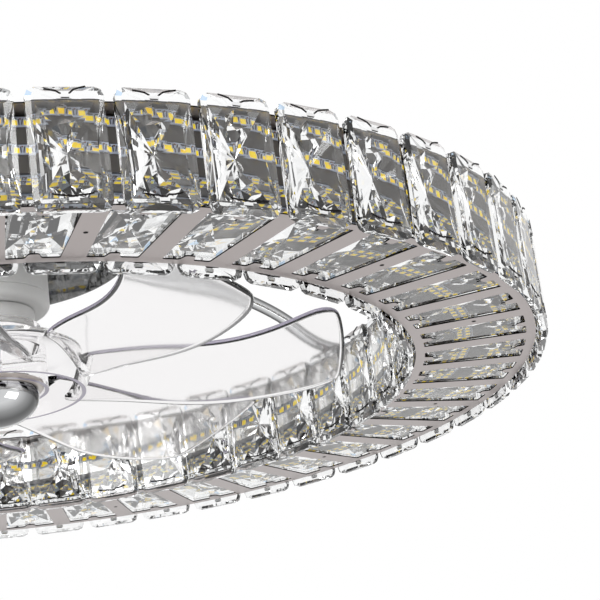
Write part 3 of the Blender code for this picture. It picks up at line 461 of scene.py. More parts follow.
def lathe(section, steps, start_deg=0.0):
    """Spin a section of (radius, height) points round the axis; an open one starts and ends on the axis."""
    bm = bmesh.new()
    start = around(start_deg)
    verts = [bm.verts.new(start @ Vector((0.0, -radius, height))) for radius, height in section]
    edges = [bm.edges.new(pair) for pair in zip(verts, verts[1:])]
    if section[0][0] > 0.0:
        edges.append(bm.edges.new((verts[-1], verts[0])))
    bmesh.ops.spin(bm, geom=verts + edges, axis=(0, 0, 1), cent=(0, 0, 0), angle=2 * pi, steps=steps,
                   use_merge=True)
    bmesh.ops.remove_doubles(bm, verts=bm.verts, dist=NO_GAP)
    return bm


def flat_ring(low_r, high_r, low_z, high_z, start_deg=0.0):
    """A ring with an oblong section."""
    section = ((low_r, high_z), (high_r, high_z), (high_r, low_z), (low_r, low_z))
    return lathe(section, RING_STEPS, start_deg)


def round_edge(centre_r, centre_z, radius, from_deg, to_deg, steps):
    """Points of a round edge in a section, 0 degrees outwards and 90 degrees up."""
    angles = [radians(from_deg + (to_deg - from_deg) * step / steps) for step in range(steps + 1)]
    return [(centre_r + radius * cos(angle), centre_z + radius * sin(angle)) for angle in angles]


def round_corners(bm, radius, segments):
    """Round the corners of a flat outline."""
    bmesh.ops.bevel(bm, geom=bm.verts[:], offset=radius, offset_type="OFFSET", segments=segments, profile=0.5,
                    affect="VERTICES", material=-1)


def thicken(bm, by):
    """Turn a bmesh's only face into a block, and return that face and the one across."""
    first = bm.faces[:][0]
    made = bmesh.ops.extrude_face_region(bm, geom=[first], use_keep_orig=True)["geom"]
    across = next(item for item in made if isinstance(item, bmesh.types.BMFace))
    bmesh.ops.translate(bm, verts=across.verts[:], vec=by)
    return first, across


def paint(verts, material):
    """Give a finish to all faces at some corners."""
    for face in {face for vert in verts for face in vert.link_faces}:
        face.material_index = material


def block(bm, size, place, material=0):
    """A box of a size at a place."""
    verts = bmesh.ops.create_cube(bm, size=1.0, matrix=place @ Matrix.Diagonal((*size, 1.0)))["verts"]
    paint(verts, material)
    return verts


def copy_round(bm, angle, copies):
    """Add copies of everything in a bmesh over an angle round the axis."""
    bmesh.ops.spin(bm, geom=bm.verts[:] + bm.edges[:] + bm.faces[:], axis=(0, 0, 1), cent=(0, 0, 0),
                   angle=angle, steps=copies, use_duplicate=True)


def repeat_round(bm, copies, group=1):
    """Repeat everything in a bmesh round the axis until there are so many, in groups where quicker."""
    if group > 1:
        copy_round(bm, 2 * pi * (group - 1) / copies, group - 1)
    rest = copies // group - 1
    copy_round(bm, 2 * pi * rest * group / copies, rest)


def varied(index, salt):
    """A fixed value between 0 and 1 that looks chance; the salt tells one use from another."""
    return (sin(index * 12.9898 + salt * 78.233) * 43758.5453) % 1.0


def join(bm, part):
    """Move everything of one bmesh into another."""
    mesh = to_mesh("part", part)
    bm.from_mesh(mesh)
    bpy.data.meshes.remove(mesh)


def star_cut(sizes, middle_depth, break_depth, edge_break):
    """The cut back of a brick: long facets on both sides and a fan of broken facets at each end."""
    bm = bmesh.new()
    bmesh.ops.create_circle(bm, cap_ends=True, cap_tris=True, segments=STAR_RAYS, radius=1.0)
    hub = min(bm.verts, key=lambda v: v.co.length)
    bmesh.ops.subdivide_edges(bm, edges=hub.link_edges[:], cuts=STAR_STEPS - 1)
    for vert in bm.verts:
        step = round(STAR_STEPS * vert.co.length)
        out = step / STAR_STEPS
        ray = round(atan2(vert.co.x, vert.co.y) / (2 * pi / STAR_RAYS)) % STAR_RAYS
        way = Vector((sin(2 * pi * ray / STAR_RAYS), cos(2 * pi * ray / STAR_RAYS)))
        reach = min(0.5 * sizes.cut_width / max(abs(way.x), LEAST_WAY),
                    0.5 * sizes.cut_height / max(abs(way.y), LEAST_WAY))
        edge = sizes.edge_depth + edge_break * varied(ray, 29)
        vert.co = (out * reach * way.x, middle_depth + (edge - middle_depth) * out, out * reach * way.y)
        if 0 < step < STAR_STEPS and abs(reach * way.x) < END_REACH * sizes.cut_width:
            vert.co.x += WANDER_WIDTH * sizes.cut_width * (varied(ray, step + 9) - 0.5)
            vert.co.y += break_depth * (varied(ray, step + 3) - 0.5)
            vert.co.z += WANDER_HEIGHT * sizes.cut_height * (varied(ray, step + 17) - 0.5)
    bmesh.ops.triangulate(bm, faces=bm.faces[:], quad_method="SHORT_EDGE")
    # Some facets get a blue or amber tint: painted glints that stand in for the crystal's fire
    for index, face in enumerate(bm.faces):
        chance = varied(index, 5)
        if chance < 2 * sizes.fire:
            face.material_index = 1 if chance < sizes.fire else 2
    return bm


def star_brick(sizes, place, *cut):
    """A bmesh of one star-cut brick with its flat front at y = 0 facing -Y, set at a place.

    The cut is given by its depth in the middle, the break of its facets and the break of its outline.
    """
    bm = bmesh.new()
    upright = Matrix.Rotation(pi / 2, 4, "X") @ Matrix.Diagonal((sizes.width, sizes.height, 1.0, 1.0))
    bmesh.ops.create_grid(bm, x_segments=1, y_segments=1, size=0.5, matrix=upright)
    round_corners(bm, sizes.corner, 2)
    bmesh.ops.translate(bm, verts=bm.verts, vec=(0, sizes.rim_depth, 0))
    front, back = thicken(bm, (0, sizes.band - sizes.rim_depth, 0))
    bmesh.ops.recalc_face_normals(bm, faces=bm.faces)
    rim = bmesh.ops.inset_region(bm, faces=[front], thickness=sizes.rim_width, depth=sizes.rim_depth,
                                 use_even_offset=True)["faces"]
    # The rim's top-left corner face gets the blue tint as a painted glint
    min(rim, key=lambda face: face.calc_center_median().dot((1, 0, -1))).material_index = 1
    bmesh.ops.delete(bm, geom=[back], context="FACES_ONLY")
    join(bm, star_cut(sizes, *cut))
    bmesh.ops.bridge_loops(bm, edges=[edge for edge in bm.edges if edge.is_boundary])
    bmesh.ops.transform(bm, matrix=place, verts=bm.verts)
    return bm


# Finishes

def add_node(tree, kind, inputs, **settings):
    """A shader node; each input is a value or the socket that it comes from."""
    node = tree.nodes.new("ShaderNode" + kind)
    for setting, value in settings.items():
        setattr(node, setting, value)
    for key, value in inputs.items():
        if isinstance(value, bpy.types.NodeSocket):
            tree.links.new(value, node.inputs[key])
        else:
            node.inputs[key].default_value = value
    return node


def math_node(tree, operation, *values, clamp=False):
    """The result of a sum."""
    return add_node(tree, "Math", dict(enumerate(values)), operation=operation, use_clamp=clamp).outputs[0]


def multiplied(tree, first, second):
    """The product of two colours."""
    mix = add_node(tree, "Mix", {}, data_type="RGBA", blend_type="MULTIPLY")
    mix.inputs["Factor"].default_value = 1.0
    tree.links.new(first, mix.inputs["A"])
    tree.links.new(second, mix.inputs["B"])
    return mix.outputs["Result"]


def seen_by(tree, *kinds):
    """1 for rays of some kinds and 0 for all others."""
    paths = add_node(tree, "LightPath", {}).outputs
    seen = paths[kinds[0]]
    for kind in kinds[1:]:
        seen = math_node(tree, "ADD", seen, paths[kind], clamp=True)
    return seen


def mottle_group():
    """Soft cloudy change of a colour and a roughness over the surface, in object space."""
    tree = bpy.data.node_groups.new("Soft mottle", "ShaderNodeTree")
    for name, kind, value in (("Colour", "Color", (0.5, 0.5, 0.5, 1.0)), ("Scale", "Float", 20.0),
                              ("Amount", "Float", 0.1), ("Roughness", "Float", 0.3),
                              ("Roughness spread", "Float", 0.05)):
        socket = tree.interface.new_socket(name, in_out="INPUT", socket_type="NodeSocket" + kind)
        socket.default_value = value
    for name, kind in (("Colour", "Color"), ("Roughness", "Float"), ("Height", "Float")):
        tree.interface.new_socket(name, in_out="OUTPUT", socket_type="NodeSocket" + kind)
    given = tree.nodes.new("NodeGroupInput").outputs
    out = tree.nodes.new("NodeGroupOutput").inputs
    place = add_node(tree, "TexCoord", {}).outputs["Object"]
    noise = add_node(tree, "TexNoise", {"Vector": place, "Scale": given["Scale"], "Detail": 5.0})
    cloud = noise.outputs["Fac"]
    centred = math_node(tree, "SUBTRACT", cloud, 0.5)
    lift = math_node(tree, "MULTIPLY_ADD", centred, given["Amount"], 1.0)
    rough = math_node(tree, "MULTIPLY_ADD", centred, given["Roughness spread"], given["Roughness"])
    tree.links.new(multiplied(tree, given["Colour"], lift), out["Colour"])
    tree.links.new(rough, out["Roughness"])
    tree.links.new(cloud, out["Height"])


def finish(name, base, roughness, metallic, scale, amount, spread=0.05, bump=0.0, glow=0.0, **shader_values):
    """A material whose colour and roughness come through the soft mottle group."""
    material = bpy.data.materials.new(name)
    material.use_nodes = True
    material.diffuse_color = (*base, 1.0)
    tree = material.node_tree
    group = add_node(tree, "Group", {"Colour": (*base, 1.0), "Scale": scale, "Amount": amount,
                                     "Roughness": roughness, "Roughness spread": spread},
                     node_tree=bpy.data.node_groups["Soft mottle"])
    shader = tree.nodes["Principled BSDF"].inputs
    tree.links.new(group.outputs["Colour"], shader["Base Color"])
    tree.links.new(group.outputs["Roughness"], shader["Roughness"])
    shader["Metallic"].default_value = metallic
    for socket, value in shader_values.items():
        shader[socket.replace("_", " ")].default_value = value
    # Painted glow: the finish shines with its own colour
    if glow > 0.0:
        shader["Emission Color"].default_value = (*base, 1.0)
        shader["Emission Strength"].default_value = glow
    if bump > 0.0:
        bumped = add_node(tree, "Bump", {"Strength": bump, "Distance": BUMP_DEPTH,
                                         "Height": group.outputs["Height"]})
        tree.links.new(bumped.outputs["Normal"], shader["Normal"])


def paint_chrome_reflection(material):
    """Paint a reflection into a mirror finish: its colour darkens where it is seen at a slant, standing in
    for a room with dark walls.
    """
    tree = material.node_tree
    base = tree.nodes["Principled BSDF"].inputs["Base Color"]
    slant = add_node(tree, "LayerWeight", {"Blend": 0.5})
    ramp = add_node(tree, "ValToRGB", {"Fac": slant.outputs["Facing"]})
    stops = ramp.color_ramp.elements
    for place, level in PAINTED_REFLECTION_LEVELS:
        stop = stops.new(place) if place > 0.0 else stops[0]
        stop.color = (level, level, level, 1.0)
    tree.links.new(multiplied(tree, base.links[0].from_socket, ramp.outputs["Color"]), base)


class CRYSTALFAN_OT_finishes(bpy.types.Operator):
    """Make the finishes of the lamp"""
    bl_idname = "crystalfan.finishes"
    bl_label = "Finishes"

    def execute(self, context):
        mottle_group()
        for name, _, *values, special in FINISHES:
            finish(name, getattr(context.scene.crystalfan_finishes, setting_of(name)), *values, **special)
        # The chrome gets a painted reflection
        paint_chrome_reflection(bpy.data.materials["Chrome"])
        return {"FINISHED"}


def add_ring_of_bricks(name, sizes, copies, start, radius, inward):
    """One of the two rings of upright crystals."""
    place = front_place(start, radius, (UPPER_LOW + UPPER_HIGH) / 2, inward)
    bm = star_brick(sizes, place, sizes.cut_depth, sizes.cut_break, sizes.edge_break)
    repeat_round(bm, copies)
    make_piece(name, bm, CRYSTAL_FINISHES, STATIC, ("top_plate_and_crystals",), smooth_deg=1.0)


def painted_line(bm, seat, points, width, thick):
    """A flat strip through points of a seat's upright plane, for the painted refraction lines."""
    for (x, z), (next_x, next_z) in zip(points, points[1:]):
        middle = Matrix.Translation(((x + next_x) / 2, 0, (z + next_z) / 2))
        lean = Matrix.Rotation(-atan2(next_z - z, next_x - x), 4, "Y")
        block(bm, (hypot(next_x - x, next_z - z) + LINE_LAP * width, thick, width), seat @ middle @ lean)


def add_clip_marks(name, sizes, copies, start, radius, inward):
    """Marks of the clips that hold the upright crystals at both plates: black wings that are a painted
    refraction of the plate's dark edge, a white nub that is a painted glint on the steel claw, and a thin
    dark bar below the nub.
    """
    bm = bmesh.new()
    width, thick = sizes.wing_width, sizes.wing_thick
    bar_width, bar_drop, bar_height = NUB_BAR
    ends = ((UPPER_HIGH - sizes.clip_set, TOP_LINE), (UPPER_LOW + sizes.clip_set, LOW_LINE))
    for index in range(CLIP_KINDS):
        for level, course in ends:
            seat = front_place(start + 360 * index / copies, radius, level, inward)
            seat = seat @ Matrix.Translation((0, -thick / 2 - NO_GAP, 0))
            # White nub: painted glint on the steel claw
            block(bm, (sizes.nub_width, thick, sizes.nub_height), seat, 1)
            block(bm, (bar_width * sizes.nub_width, thick, bar_height * width),
                  seat @ Matrix.Translation((0, 0, -bar_drop * sizes.nub_height)))
            # Black wings and the low line across: painted refraction of the plate's dark edge
            lift = seat @ Matrix.Translation((0, 0, 0.5 * sizes.nub_height))
            if course == LOW_LINE:
                half, high = (LINE_UNIT * value for value in course[0])
                painted_line(bm, lift, ((-half, high), (half, high)), width, thick)
            for side in (-1, 1):
                reach = LINE_UNIT * (WING_REACH[0] + WING_REACH[1] * varied(index, 2 * side + level))
                rise = LINE_UNIT * (WING_RISE[0] + WING_RISE[1] * varied(index, side + level))
                painted_line(bm, lift, [(side * reach * x, rise * z) for x, z in course], width, thick)
    repeat_round(bm, copies // CLIP_KINDS)
    make_piece(name, bm, ("Cut edge", "Nub"), STATIC, smooth_deg=20.0)


class CRYSTALFAN_OT_crystals(bpy.types.Operator):
    """Build the outer, inner and lower crystals"""
    bl_idname = "crystalfan.crystals"
    bl_label = "Crystals"

    def execute(self, context):
        sizes = context.scene.crystalfan_crystals
        ring = context.scene.crystalfan_ring
        outer = (sizes.outer_count, sizes.outer_start, sizes.outer_front, False)
        inner = (sizes.inner_count, sizes.inner_start, sizes.inner_front, True)
        add_ring_of_bricks("outer_crystals", sizes, *outer)
        add_ring_of_bricks("inner_crystals", sizes, *inner)
        middle = (ring.window_in + ring.window_out) / 2
        level = PLATE_LOW + ring.thickness + ring.crystal_clear
        seat = around(ring.first_bar + 180 / ring.windows) @ Matrix.Translation((0, -middle, level))
        lying = seat @ Matrix.Rotation(pi / 2, 4, "X")
        bm = star_brick(sizes, lying, sizes.lower_depth, sizes.lower_break, 0.0)
        repeat_round(bm, ring.windows)
        make_piece("lower_crystals", bm, CRYSTAL_FINISHES, STATIC, ("bottom_plate_and_crystals",),
                   smooth_deg=1.0)
        add_clip_marks("outer_clips", sizes, *outer)
        add_clip_marks("inner_clips", sizes, *inner)
        return {"FINISHED"}


def ring_plate(ring, low_z):
    """One of the ring's two plates."""
    return flat_ring(ring.in_radius, ring.out_radius, low_z, low_z + ring.thickness, ring.first_bar)


def add_posts(bm, ring, radius, low, high, material=0):
    """Round posts over the bars that carry them, from one level to another."""
    for bar in POST_BARS:
        for step in range(ring.windows // POST_BAR_STEP):
            place = around(ring.first_bar + 360 * (bar + POST_BAR_STEP * step) / ring.windows)
            middle = Matrix.Translation((0, -ring.dot_circle, (low + high) / 2))
            made = bmesh.ops.create_cone(bm, cap_ends=True, segments=POST_SIDES, radius1=radius,
                                         radius2=radius, depth=high - low, matrix=place @ middle)
            paint(made["verts"], material)


def window_outline(ring):
    """One window between two bars, with a tapered tongue in the middle of each end."""
    half_pitch = pi / ring.windows
    outer_turn = half_pitch - asin(ring.bar_width / 2 / ring.window_out)
    inner_turn = half_pitch - asin(ring.bar_width / 2 / ring.window_in)
    root, tip, reach = ring.tongue_root / 2, ring.tongue_tip / 2, ring.tongue_length
    far, near = ring.window_out, ring.window_in
    return (
        (-far * sin(outer_turn), -far * cos(outer_turn)), (-root, -far), (-tip, reach - far),
        (tip, reach - far), (root, -far), (far * sin(outer_turn), -far * cos(outer_turn)),
        (near * sin(inner_turn), -near * cos(inner_turn)), (root, -near), (tip, -reach - near),
        (-tip, -reach - near), (-root, -near), (-near * sin(inner_turn), -near * cos(inner_turn)),
    )


class CRYSTALFAN_OT_plates(bpy.types.Operator):
    """Build the ring's plates with their windows, tongues and rivet ends"""
    bl_idname = "crystalfan.plates"
    bl_label = "Ring plates"

    def execute(self, context):
        ring = context.scene.crystalfan_ring
        low_z, thick = PLATE_LOW, ring.thickness
        first_window = around(ring.first_bar + 180 / ring.windows)
        plate = make_piece("bottom_plate", ring_plate(ring, low_z), ("Plate", "Cut edge"), STATIC,
                           ("bottom_plate_and_crystals",))
        cuts = bmesh.new()
        cuts.faces.new([cuts.verts.new((x, y, low_z - thick)) for x, y in window_outline(ring)])
        round_corners(cuts, ring.window_corner, 3)
        thicken(cuts, (0, 0, 3 * thick))
        bmesh.ops.rotate(cuts, cent=(0, 0, 0), matrix=first_window, verts=cuts.verts)
        repeat_round(cuts, ring.windows)
        bmesh.ops.recalc_face_normals(cuts, faces=cuts.faces)
        cutter = add_object("window_cut", to_mesh("window_cut", cuts))
        cut = plate.modifiers.new("windows", "BOOLEAN")
        cut.operation = "DIFFERENCE"
        cut.solver = "EXACT"
        cut.object = cutter
        mark_edges(keep_shape(plate))
        plate.data.set_sharp_from_angle(angle=radians(20))
        bpy.data.objects.remove(cutter)
        trim = bmesh.new()
        tips = ((ring.window_out - ring.tongue_length, 1), (ring.window_in + ring.tongue_length, -1))
        for radius, inward in tips:
            middle = Matrix.Translation((0, inward * ring.hook_length / 2 - radius, low_z + thick / 2))
            block(trim, (ring.hook_width, ring.hook_length, thick / 2), first_window @ middle)
        repeat_round(trim, ring.windows)
        proud = thick / 8
        add_posts(trim, ring, ring.dot_radius, low_z - proud, low_z + thick / 2 - proud)
        make_piece("hooks_and_rivets", trim, ("Cut edge",), STATIC)
        upper = ring_plate(ring, low_z + ring.height - thick)
        upper.normal_update()
        mark_edges(upper.faces)
        make_piece("top_plate", upper, ("Plate", "Cut edge"), STATIC,
                   ("top_plate_and_crystals",))
        return {"FINISHED"}


def chip_seat(bm, ring, seat):
    """One light chip with its yellow face and its marks; the seat's -Y looks away from the board."""
    chip = seat @ Matrix.Translation((0, -ring.chip_thick / 2, -ring.chip_drop))
    verts = block(bm, (ring.chip_width, ring.chip_thick, ring.chip_height), chip, 2)
    away = seat.to_3x3() @ Vector((0, -1, 0))
    face = max({f for v in verts for f in v.link_faces}, key=lambda f: f.calc_center_median().dot(away))
    bmesh.ops.inset_individual(bm, faces=[face], thickness=CHIP_FRAME * ring.chip_height)
    face.material_index = 3
    unit = ring.strip_width
    for width, height, along, up, lean, layers, material in CHIP_MARKS:
        depth = layers * ring.chip_thick / 4
        place = seat @ Matrix.Translation((along * unit, -depth / 2, up * unit))
        block(bm, (width * unit, depth, height * unit), place @ Matrix.Rotation(radians(lean), 4, "Y"),
              material)


def chip_ring(bm, ring, radius):
    """Repeat the chips in a bmesh round the axis, a pitch apart."""
    repeat_round(bm, CHIP_GROUP * round(2 * pi * radius / ring.chip_pitch / CHIP_GROUP), CHIP_GROUP)


def board_ring(bm, low_r, high_r, low_z, high_z, material=0):
    """Add a ring with an oblong section to a bmesh."""
    part = flat_ring(low_r, high_r, low_z, high_z)
    paint(part.verts, material)
    join(bm, part)


def under_channel(ring, name, out_r, top_z, replaced):
    """A light strip with two rows of chips that face down, under the channel's floor."""
    bm = bmesh.new()
    board_z = top_z - ring.strip_thick
    down = Matrix.Rotation(pi / 2, 4, "X")
    for row in (0.5, 1.5):
        chip_seat(bm, ring, Matrix.Translation((0, row * ring.strip_width - out_r, board_z)) @ down)
    chip_ring(bm, ring, out_r)
    board_ring(bm, out_r - 2 * ring.strip_width, out_r, board_z, top_z)
    make_piece(name, bm, STRIP_FINISHES, STATIC, replaced)


class CRYSTALFAN_OT_light_core(bpy.types.Operator):
    """Build the channel with its posts and the light strips with their chips"""
    bl_idname = "crystalfan.light_core"
    bl_label = "Light core"

    def execute(self, context):
        ring = context.scene.crystalfan_ring
        strip_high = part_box("led_strip_floor")[1]
        floor_z = strip_high.z + NO_GAP
        out, inside, top_z, skin = ring.core_out, ring.core_in, CORE_HIGH, ring.core_skin
        section = (
            (out, top_z), (out, floor_z), (inside, floor_z), (inside, top_z), (inside + skin, top_z),
            (inside + skin, floor_z + skin), (out - skin, floor_z + skin), (out - skin, top_z),
        )
        bm = lathe(section, RING_STEPS, ring.first_bar)
        bm.normal_update()
        for face in bm.faces:
            radius = face.calc_center_median().xy.length
            face.material_index = 1
            if is_upright(face) and radius > out - skin / 2:
                face.material_index = 0
            elif is_upright(face) and radius < inside + skin / 2:
                face.material_index = 3
        add_posts(bm, ring, ring.post_radius, PLATE_LOW + ring.thickness, floor_z, 2)
        make_piece("core_walls", bm, ("Core", "Core lining", "Zinc", "Inner wall"), STATIC,
                   ("core_channel",))
        strips = {"led_strip_outer_lower": 1, "led_strip_outer_upper": 1, "led_strip_inner": -1}
        for node, facing in strips.items():
            level = sum(levels(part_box(node))) / 2
            wall = out + NO_GAP if facing > 0 else inside - NO_GAP
            board = wall + facing * ring.strip_thick
            bm = bmesh.new()
            chip_seat(bm, ring, front_place(0, board, level, facing < 0))
            chip_ring(bm, ring, board)
            near, far = sorted((wall, board))
            shadow = level + ring.strip_width / 2
            board_ring(bm, near, far, level - ring.strip_width / 2, shadow)
            # A thin black ring over the board: painted shadow line
            board_ring(bm, near, far, shadow + NO_GAP, shadow + ring.shadow_line, 1)
            make_piece(node + "_lit", bm, STRIP_FINISHES, STATIC, (node,))
        under_channel(ring, "led_strip_floor_lit", strip_high.y, strip_high.z, ("led_strip_floor",))
        under_channel(ring, "led_strip_floor_outer", out - ring.edge_room, strip_high.z, ())
        return {"FINISHED"}


class CRYSTALFAN_OT_canopy(bpy.types.Operator):
    """Build the chrome canopy"""
    bl_idname = "crystalfan.canopy"
    bl_label = "Canopy"

    def execute(self, context):
        mount = context.scene.crystalfan_mount
        radius, wall, edge = mount.canopy_radius, mount.canopy_wall, mount.canopy_edge
        low = CANOPY_LOW
        section = [(radius, 0.0)] + round_edge(radius - edge, low + edge, edge, 0, -90, EDGE_STEPS)
        section += [(mount.wire_hole, low), (mount.wire_hole, low + wall)]
        section += round_edge(radius - edge, low + edge, edge - wall, -90, 0, INNER_EDGE_STEPS)
        section.append((radius - wall, 0.0))
        make_piece("canopy_dish", lathe(section, CANOPY_STEPS), ("Chrome",), STATIC,
                   ("canopy_shell",))
        return {"FINISHED"}


class CRYSTALFAN_OT_motor(bpy.types.Operator):
    """Build the motor's housing, its cover and the boss"""
    bl_idname = "crystalfan.motor"
    bl_label = "Motor"

    def execute(self, context):
        mount = context.scene.crystalfan_mount
        fan = context.scene.crystalfan_fan
        radius, wall, edge = mount.motor_radius, mount.motor_wall, mount.cover_edge
        top, seam_z, low, bore = HOUSING_HIGH, COVER_HIGH, COVER_LOW, fan.boss_bore
        gap_z = seam_z + mount.seam_gap
        case = ((0.0, top), (radius, top), (radius, seam_z + mount.seam_rise), (radius - mount.seam, gap_z),
                (radius - wall, gap_z), (radius - wall, top - wall), (0.0, top - wall))
        make_piece("motor_case", lathe(case, MOTOR_STEPS), ("Motor paint",), STATIC,
                   ("motor_housing",))
        lid = [(mount.bearing_seat, seam_z), (radius - mount.seam, seam_z), (radius, seam_z - mount.seam)]
        lid += round_edge(radius - edge, low + edge, edge, 0, -90, EDGE_STEPS) + [(mount.bearing_seat, low)]
        make_piece("motor_lid", lathe(lid, MOTOR_STEPS), ("Motor paint",), STATIC,
                   ("motor_cover",))
        neck = ((bore, BOSS_HIGH), (fan.boss_radius, BOSS_HIGH), (fan.boss_radius, BOSS_LOW + fan.boss_edge),
                (fan.boss_radius - fan.boss_edge, BOSS_LOW), (bore, BOSS_LOW))
        make_piece("rotor_neck", lathe(neck, BOSS_STEPS), ("Motor paint",), ROTOR,
                   ("rotor_boss",))
        return {"FINISHED"}


def petal_point(fan, row, across):
    """A point of a petal's middle surface: across is 0 on the high edge and 1 on the low edge."""
    along, high_turn, low_turn, high_share, low_share = row
    radius = fan.petal_root + (fan.petal_tip - fan.petal_root) * along
    angle = 2 * pi * (high_turn + (low_turn - high_turn) * across)
    rounded = across * across * (3 - 2 * across)
    fall = rounded + (across - rounded) * along
    height = fan.petal_low + fan.petal_rise * (high_share + (low_share - high_share) * fall)
    return Vector((radius * sin(angle), -radius * cos(angle), height))


def clear_low_rims(petals, fan):
    """Fix the petals' shape, leave the painted edge shade on the high edges alone and give the roots the
    hub's.
    """
    for face in keep_shape(petals):
        if hypot(face.center.x, face.center.y) < fan.hub_radius + fan.hub_wall:
            face.material_index = 2
        elif face.center.z < fan.petal_low + 0.5 * fan.petal_rise:
            face.material_index = 0


class CRYSTALFAN_OT_impeller(bpy.types.Operator):
    """Build the clear hub and its petals"""
    bl_idname = "crystalfan.impeller"
    bl_label = "Impeller"

    def execute(self, context):
        fan = context.scene.crystalfan_fan
        bm = bmesh.new()
        rows = [[bm.verts.new(petal_point(fan, row, step / PETAL_ACROSS)) for step in range(PETAL_ACROSS + 1)]
                for row in PETAL_ROWS]
        for near, far in zip(rows, rows[1:]):
            for step in range(PETAL_ACROSS):
                bm.faces.new((near[step], near[step + 1], far[step + 1], far[step]))
        repeat_round(bm, fan.petals)
        petals = make_piece("fan_petals", bm, ("Petal", "Petal edge", "Hub"), ROTOR,
                            ("impeller",), smooth_deg=60.0)
        smooth = petals.modifiers.new("smooth", "SUBSURF")
        smooth.levels = smooth.render_levels = 2
        thick = petals.modifiers.new("thickness", "SOLIDIFY")
        thick.thickness = fan.petal_thick
        thick.offset = 0.0
        # The cut rims of the petals take the painted edge shade
        thick.material_offset_rim = 1
        clear_low_rims(petals, fan)
        roof, rim, floor, bore = fan.hub_roof, fan.hub_rim, fan.hub_floor, fan.boss_bore
        wall, radius, tube = fan.hub_wall, fan.hub_radius, fan.tube_radius
        edge, cut, lip_z = fan.roof_edge, fan.roof_cut, floor - fan.tube_lip
        socket = fan.boss_radius + fan.clearance
        socket_z = BOSS_LOW - fan.clearance
        section = (
            (bore, socket_z), (socket, socket_z), (socket, socket_z + fan.socket_lip),
            (socket + wall, socket_z + fan.socket_lip), (fan.boss_radius - fan.socket_foot, roof),
            (radius - edge, roof), (radius - cut, roof - cut), (radius, roof - edge), (radius, rim),
            (radius - wall, rim), (radius - wall, roof - wall), (tube, roof - wall), (tube, lip_z),
            (tube - wall, lip_z), (tube - wall, floor), (bore, floor),
        )
        bm = lathe(section, HUB_STEPS)
        # The hub's rim and the tube's lip get the painted edge shade
        for face in bm.faces:
            height = face.calc_center_median().z
            if min(abs(height - rim), abs(height - lip_z)) < LEVEL_SLACK:
                face.material_index = 1
        make_piece("fan_hub", bm, ("Hub", "Petal edge"), ROTOR, ("impeller",))
        return {"FINISHED"}


class CRYSTALFAN_OT_cap(bpy.types.Operator):
    """Build the beige ring and the chrome cap"""
    bl_idname = "crystalfan.cap"
    bl_label = "Cap"

    def execute(self, context):
        fan = context.scene.crystalfan_fan
        bore, edge = fan.boss_bore, fan.washer_edge
        washer = [(bore, WASHER_HIGH), (fan.washer_radius, WASHER_HIGH)]
        washer += round_edge(fan.washer_radius - edge, WASHER_LOW + edge, edge, 0, -90, WASHER_EDGE_STEPS)
        washer.append((bore, WASHER_LOW))
        make_piece("cap_ring", lathe(washer, MOTOR_STEPS), ("Beige ring",), ROTOR,
                   ("cap_washer",))
        lip = CAP_HIGH - fan.cap_lip
        shaft_end = SHAFT_LOW - fan.clearance
        section = [(0.0, shaft_end), (bore, shaft_end), (bore, CAP_HIGH), (fan.cap_radius, CAP_HIGH)]
        for step in range(DOME_STEPS):
            angle = pi / 2 * step / DOME_STEPS
            section.append((fan.cap_radius * cos(angle), lip - (lip - CAP_LOW) * sin(angle)))
        section.append((0.0, CAP_LOW))
        make_piece("cap_dome", lathe(section, MOTOR_STEPS), ("Chrome",), ROTOR, ("hub_cap",))
        return {"FINISHED"}


class CRYSTALFAN_OT_arms(bpy.types.Operator):
    """Build the chrome rods of the arms"""
    bl_idname = "crystalfan.arms"
    bl_label = "Arms"

    def execute(self, context):
        mount = context.scene.crystalfan_mount
        reach = mount.rod_end_radius - mount.canopy_radius
        fall = -mount.rod_drop - mount.rod_end_level
        course = [(mount.canopy_radius - mount.rod_inside, -mount.rod_drop)]
        course += [(mount.canopy_radius + reach * out, -mount.rod_drop - fall * down)
                   for out, down in ROD_COURSE]
        for index in range(mount.arms):
            path = bpy.data.curves.new("arm_path", "CURVE")
            path.dimensions = "3D"
            path.bevel_depth = mount.rod_radius
            path.bevel_resolution = 6
            path.resolution_u = 4
            path.use_fill_caps = True
            spline = path.splines.new("NURBS")
            spline.points.add(len(course) - 1)
            spline.order_u = 3
            spline.use_endpoint_u = True
            place = around(mount.first_arm + 360 * index / mount.arms)
            for point, (radius, height) in zip(spline.points, course):
                point.co = (*(place @ Vector((0, -radius, height))), 1.0)
            tube = bpy.data.objects.new("arm_path", path)
            bm = bmesh.new()
            bm.from_mesh(tube.to_mesh())
            tube.to_mesh_clear()
            bpy.data.objects.remove(tube)
            bmesh.ops.remove_doubles(bm, verts=bm.verts, dist=NO_GAP)
            name = "arm_rod_" + str(index + 1)
            make_piece(name + "_tube", bm, ("Chrome",), STATIC, (name,), smooth_deg=40.0)
        return {"FINISHED"}


# Starts of the names of the nodes that are carried over, by finish
NODE_FINISHES = {
    "Zinc": ("ceiling_bracket", "motor_screw", "arm_nut", "foot_screw"),
    "Chrome": ("canopy_screw", "arm_foot"),
    "White plastic": ("light_driver", "fan_controller", "terminal_block"),
    "Bearing steel": ("bearing", "motor_shaft"),
    "Iron": ("stator_core", "rotor_magnet"),
    "Copper": ("stator_winding",),
}


class CRYSTALFAN_OT_carried_nodes(bpy.types.Operator):
    """Give the carried-over parts their finishes"""
    bl_idname = "crystalfan.carried_nodes"
    bl_label = "Carried-over parts"

    def execute(self, context):
        for finish_name, starts in NODE_FINISHES.items():
            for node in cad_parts:
                if node.startswith(starts):
                    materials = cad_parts[node].data.materials
                    materials.clear()
                    materials.append(bpy.data.materials[finish_name])
        return {"FINISHED"}


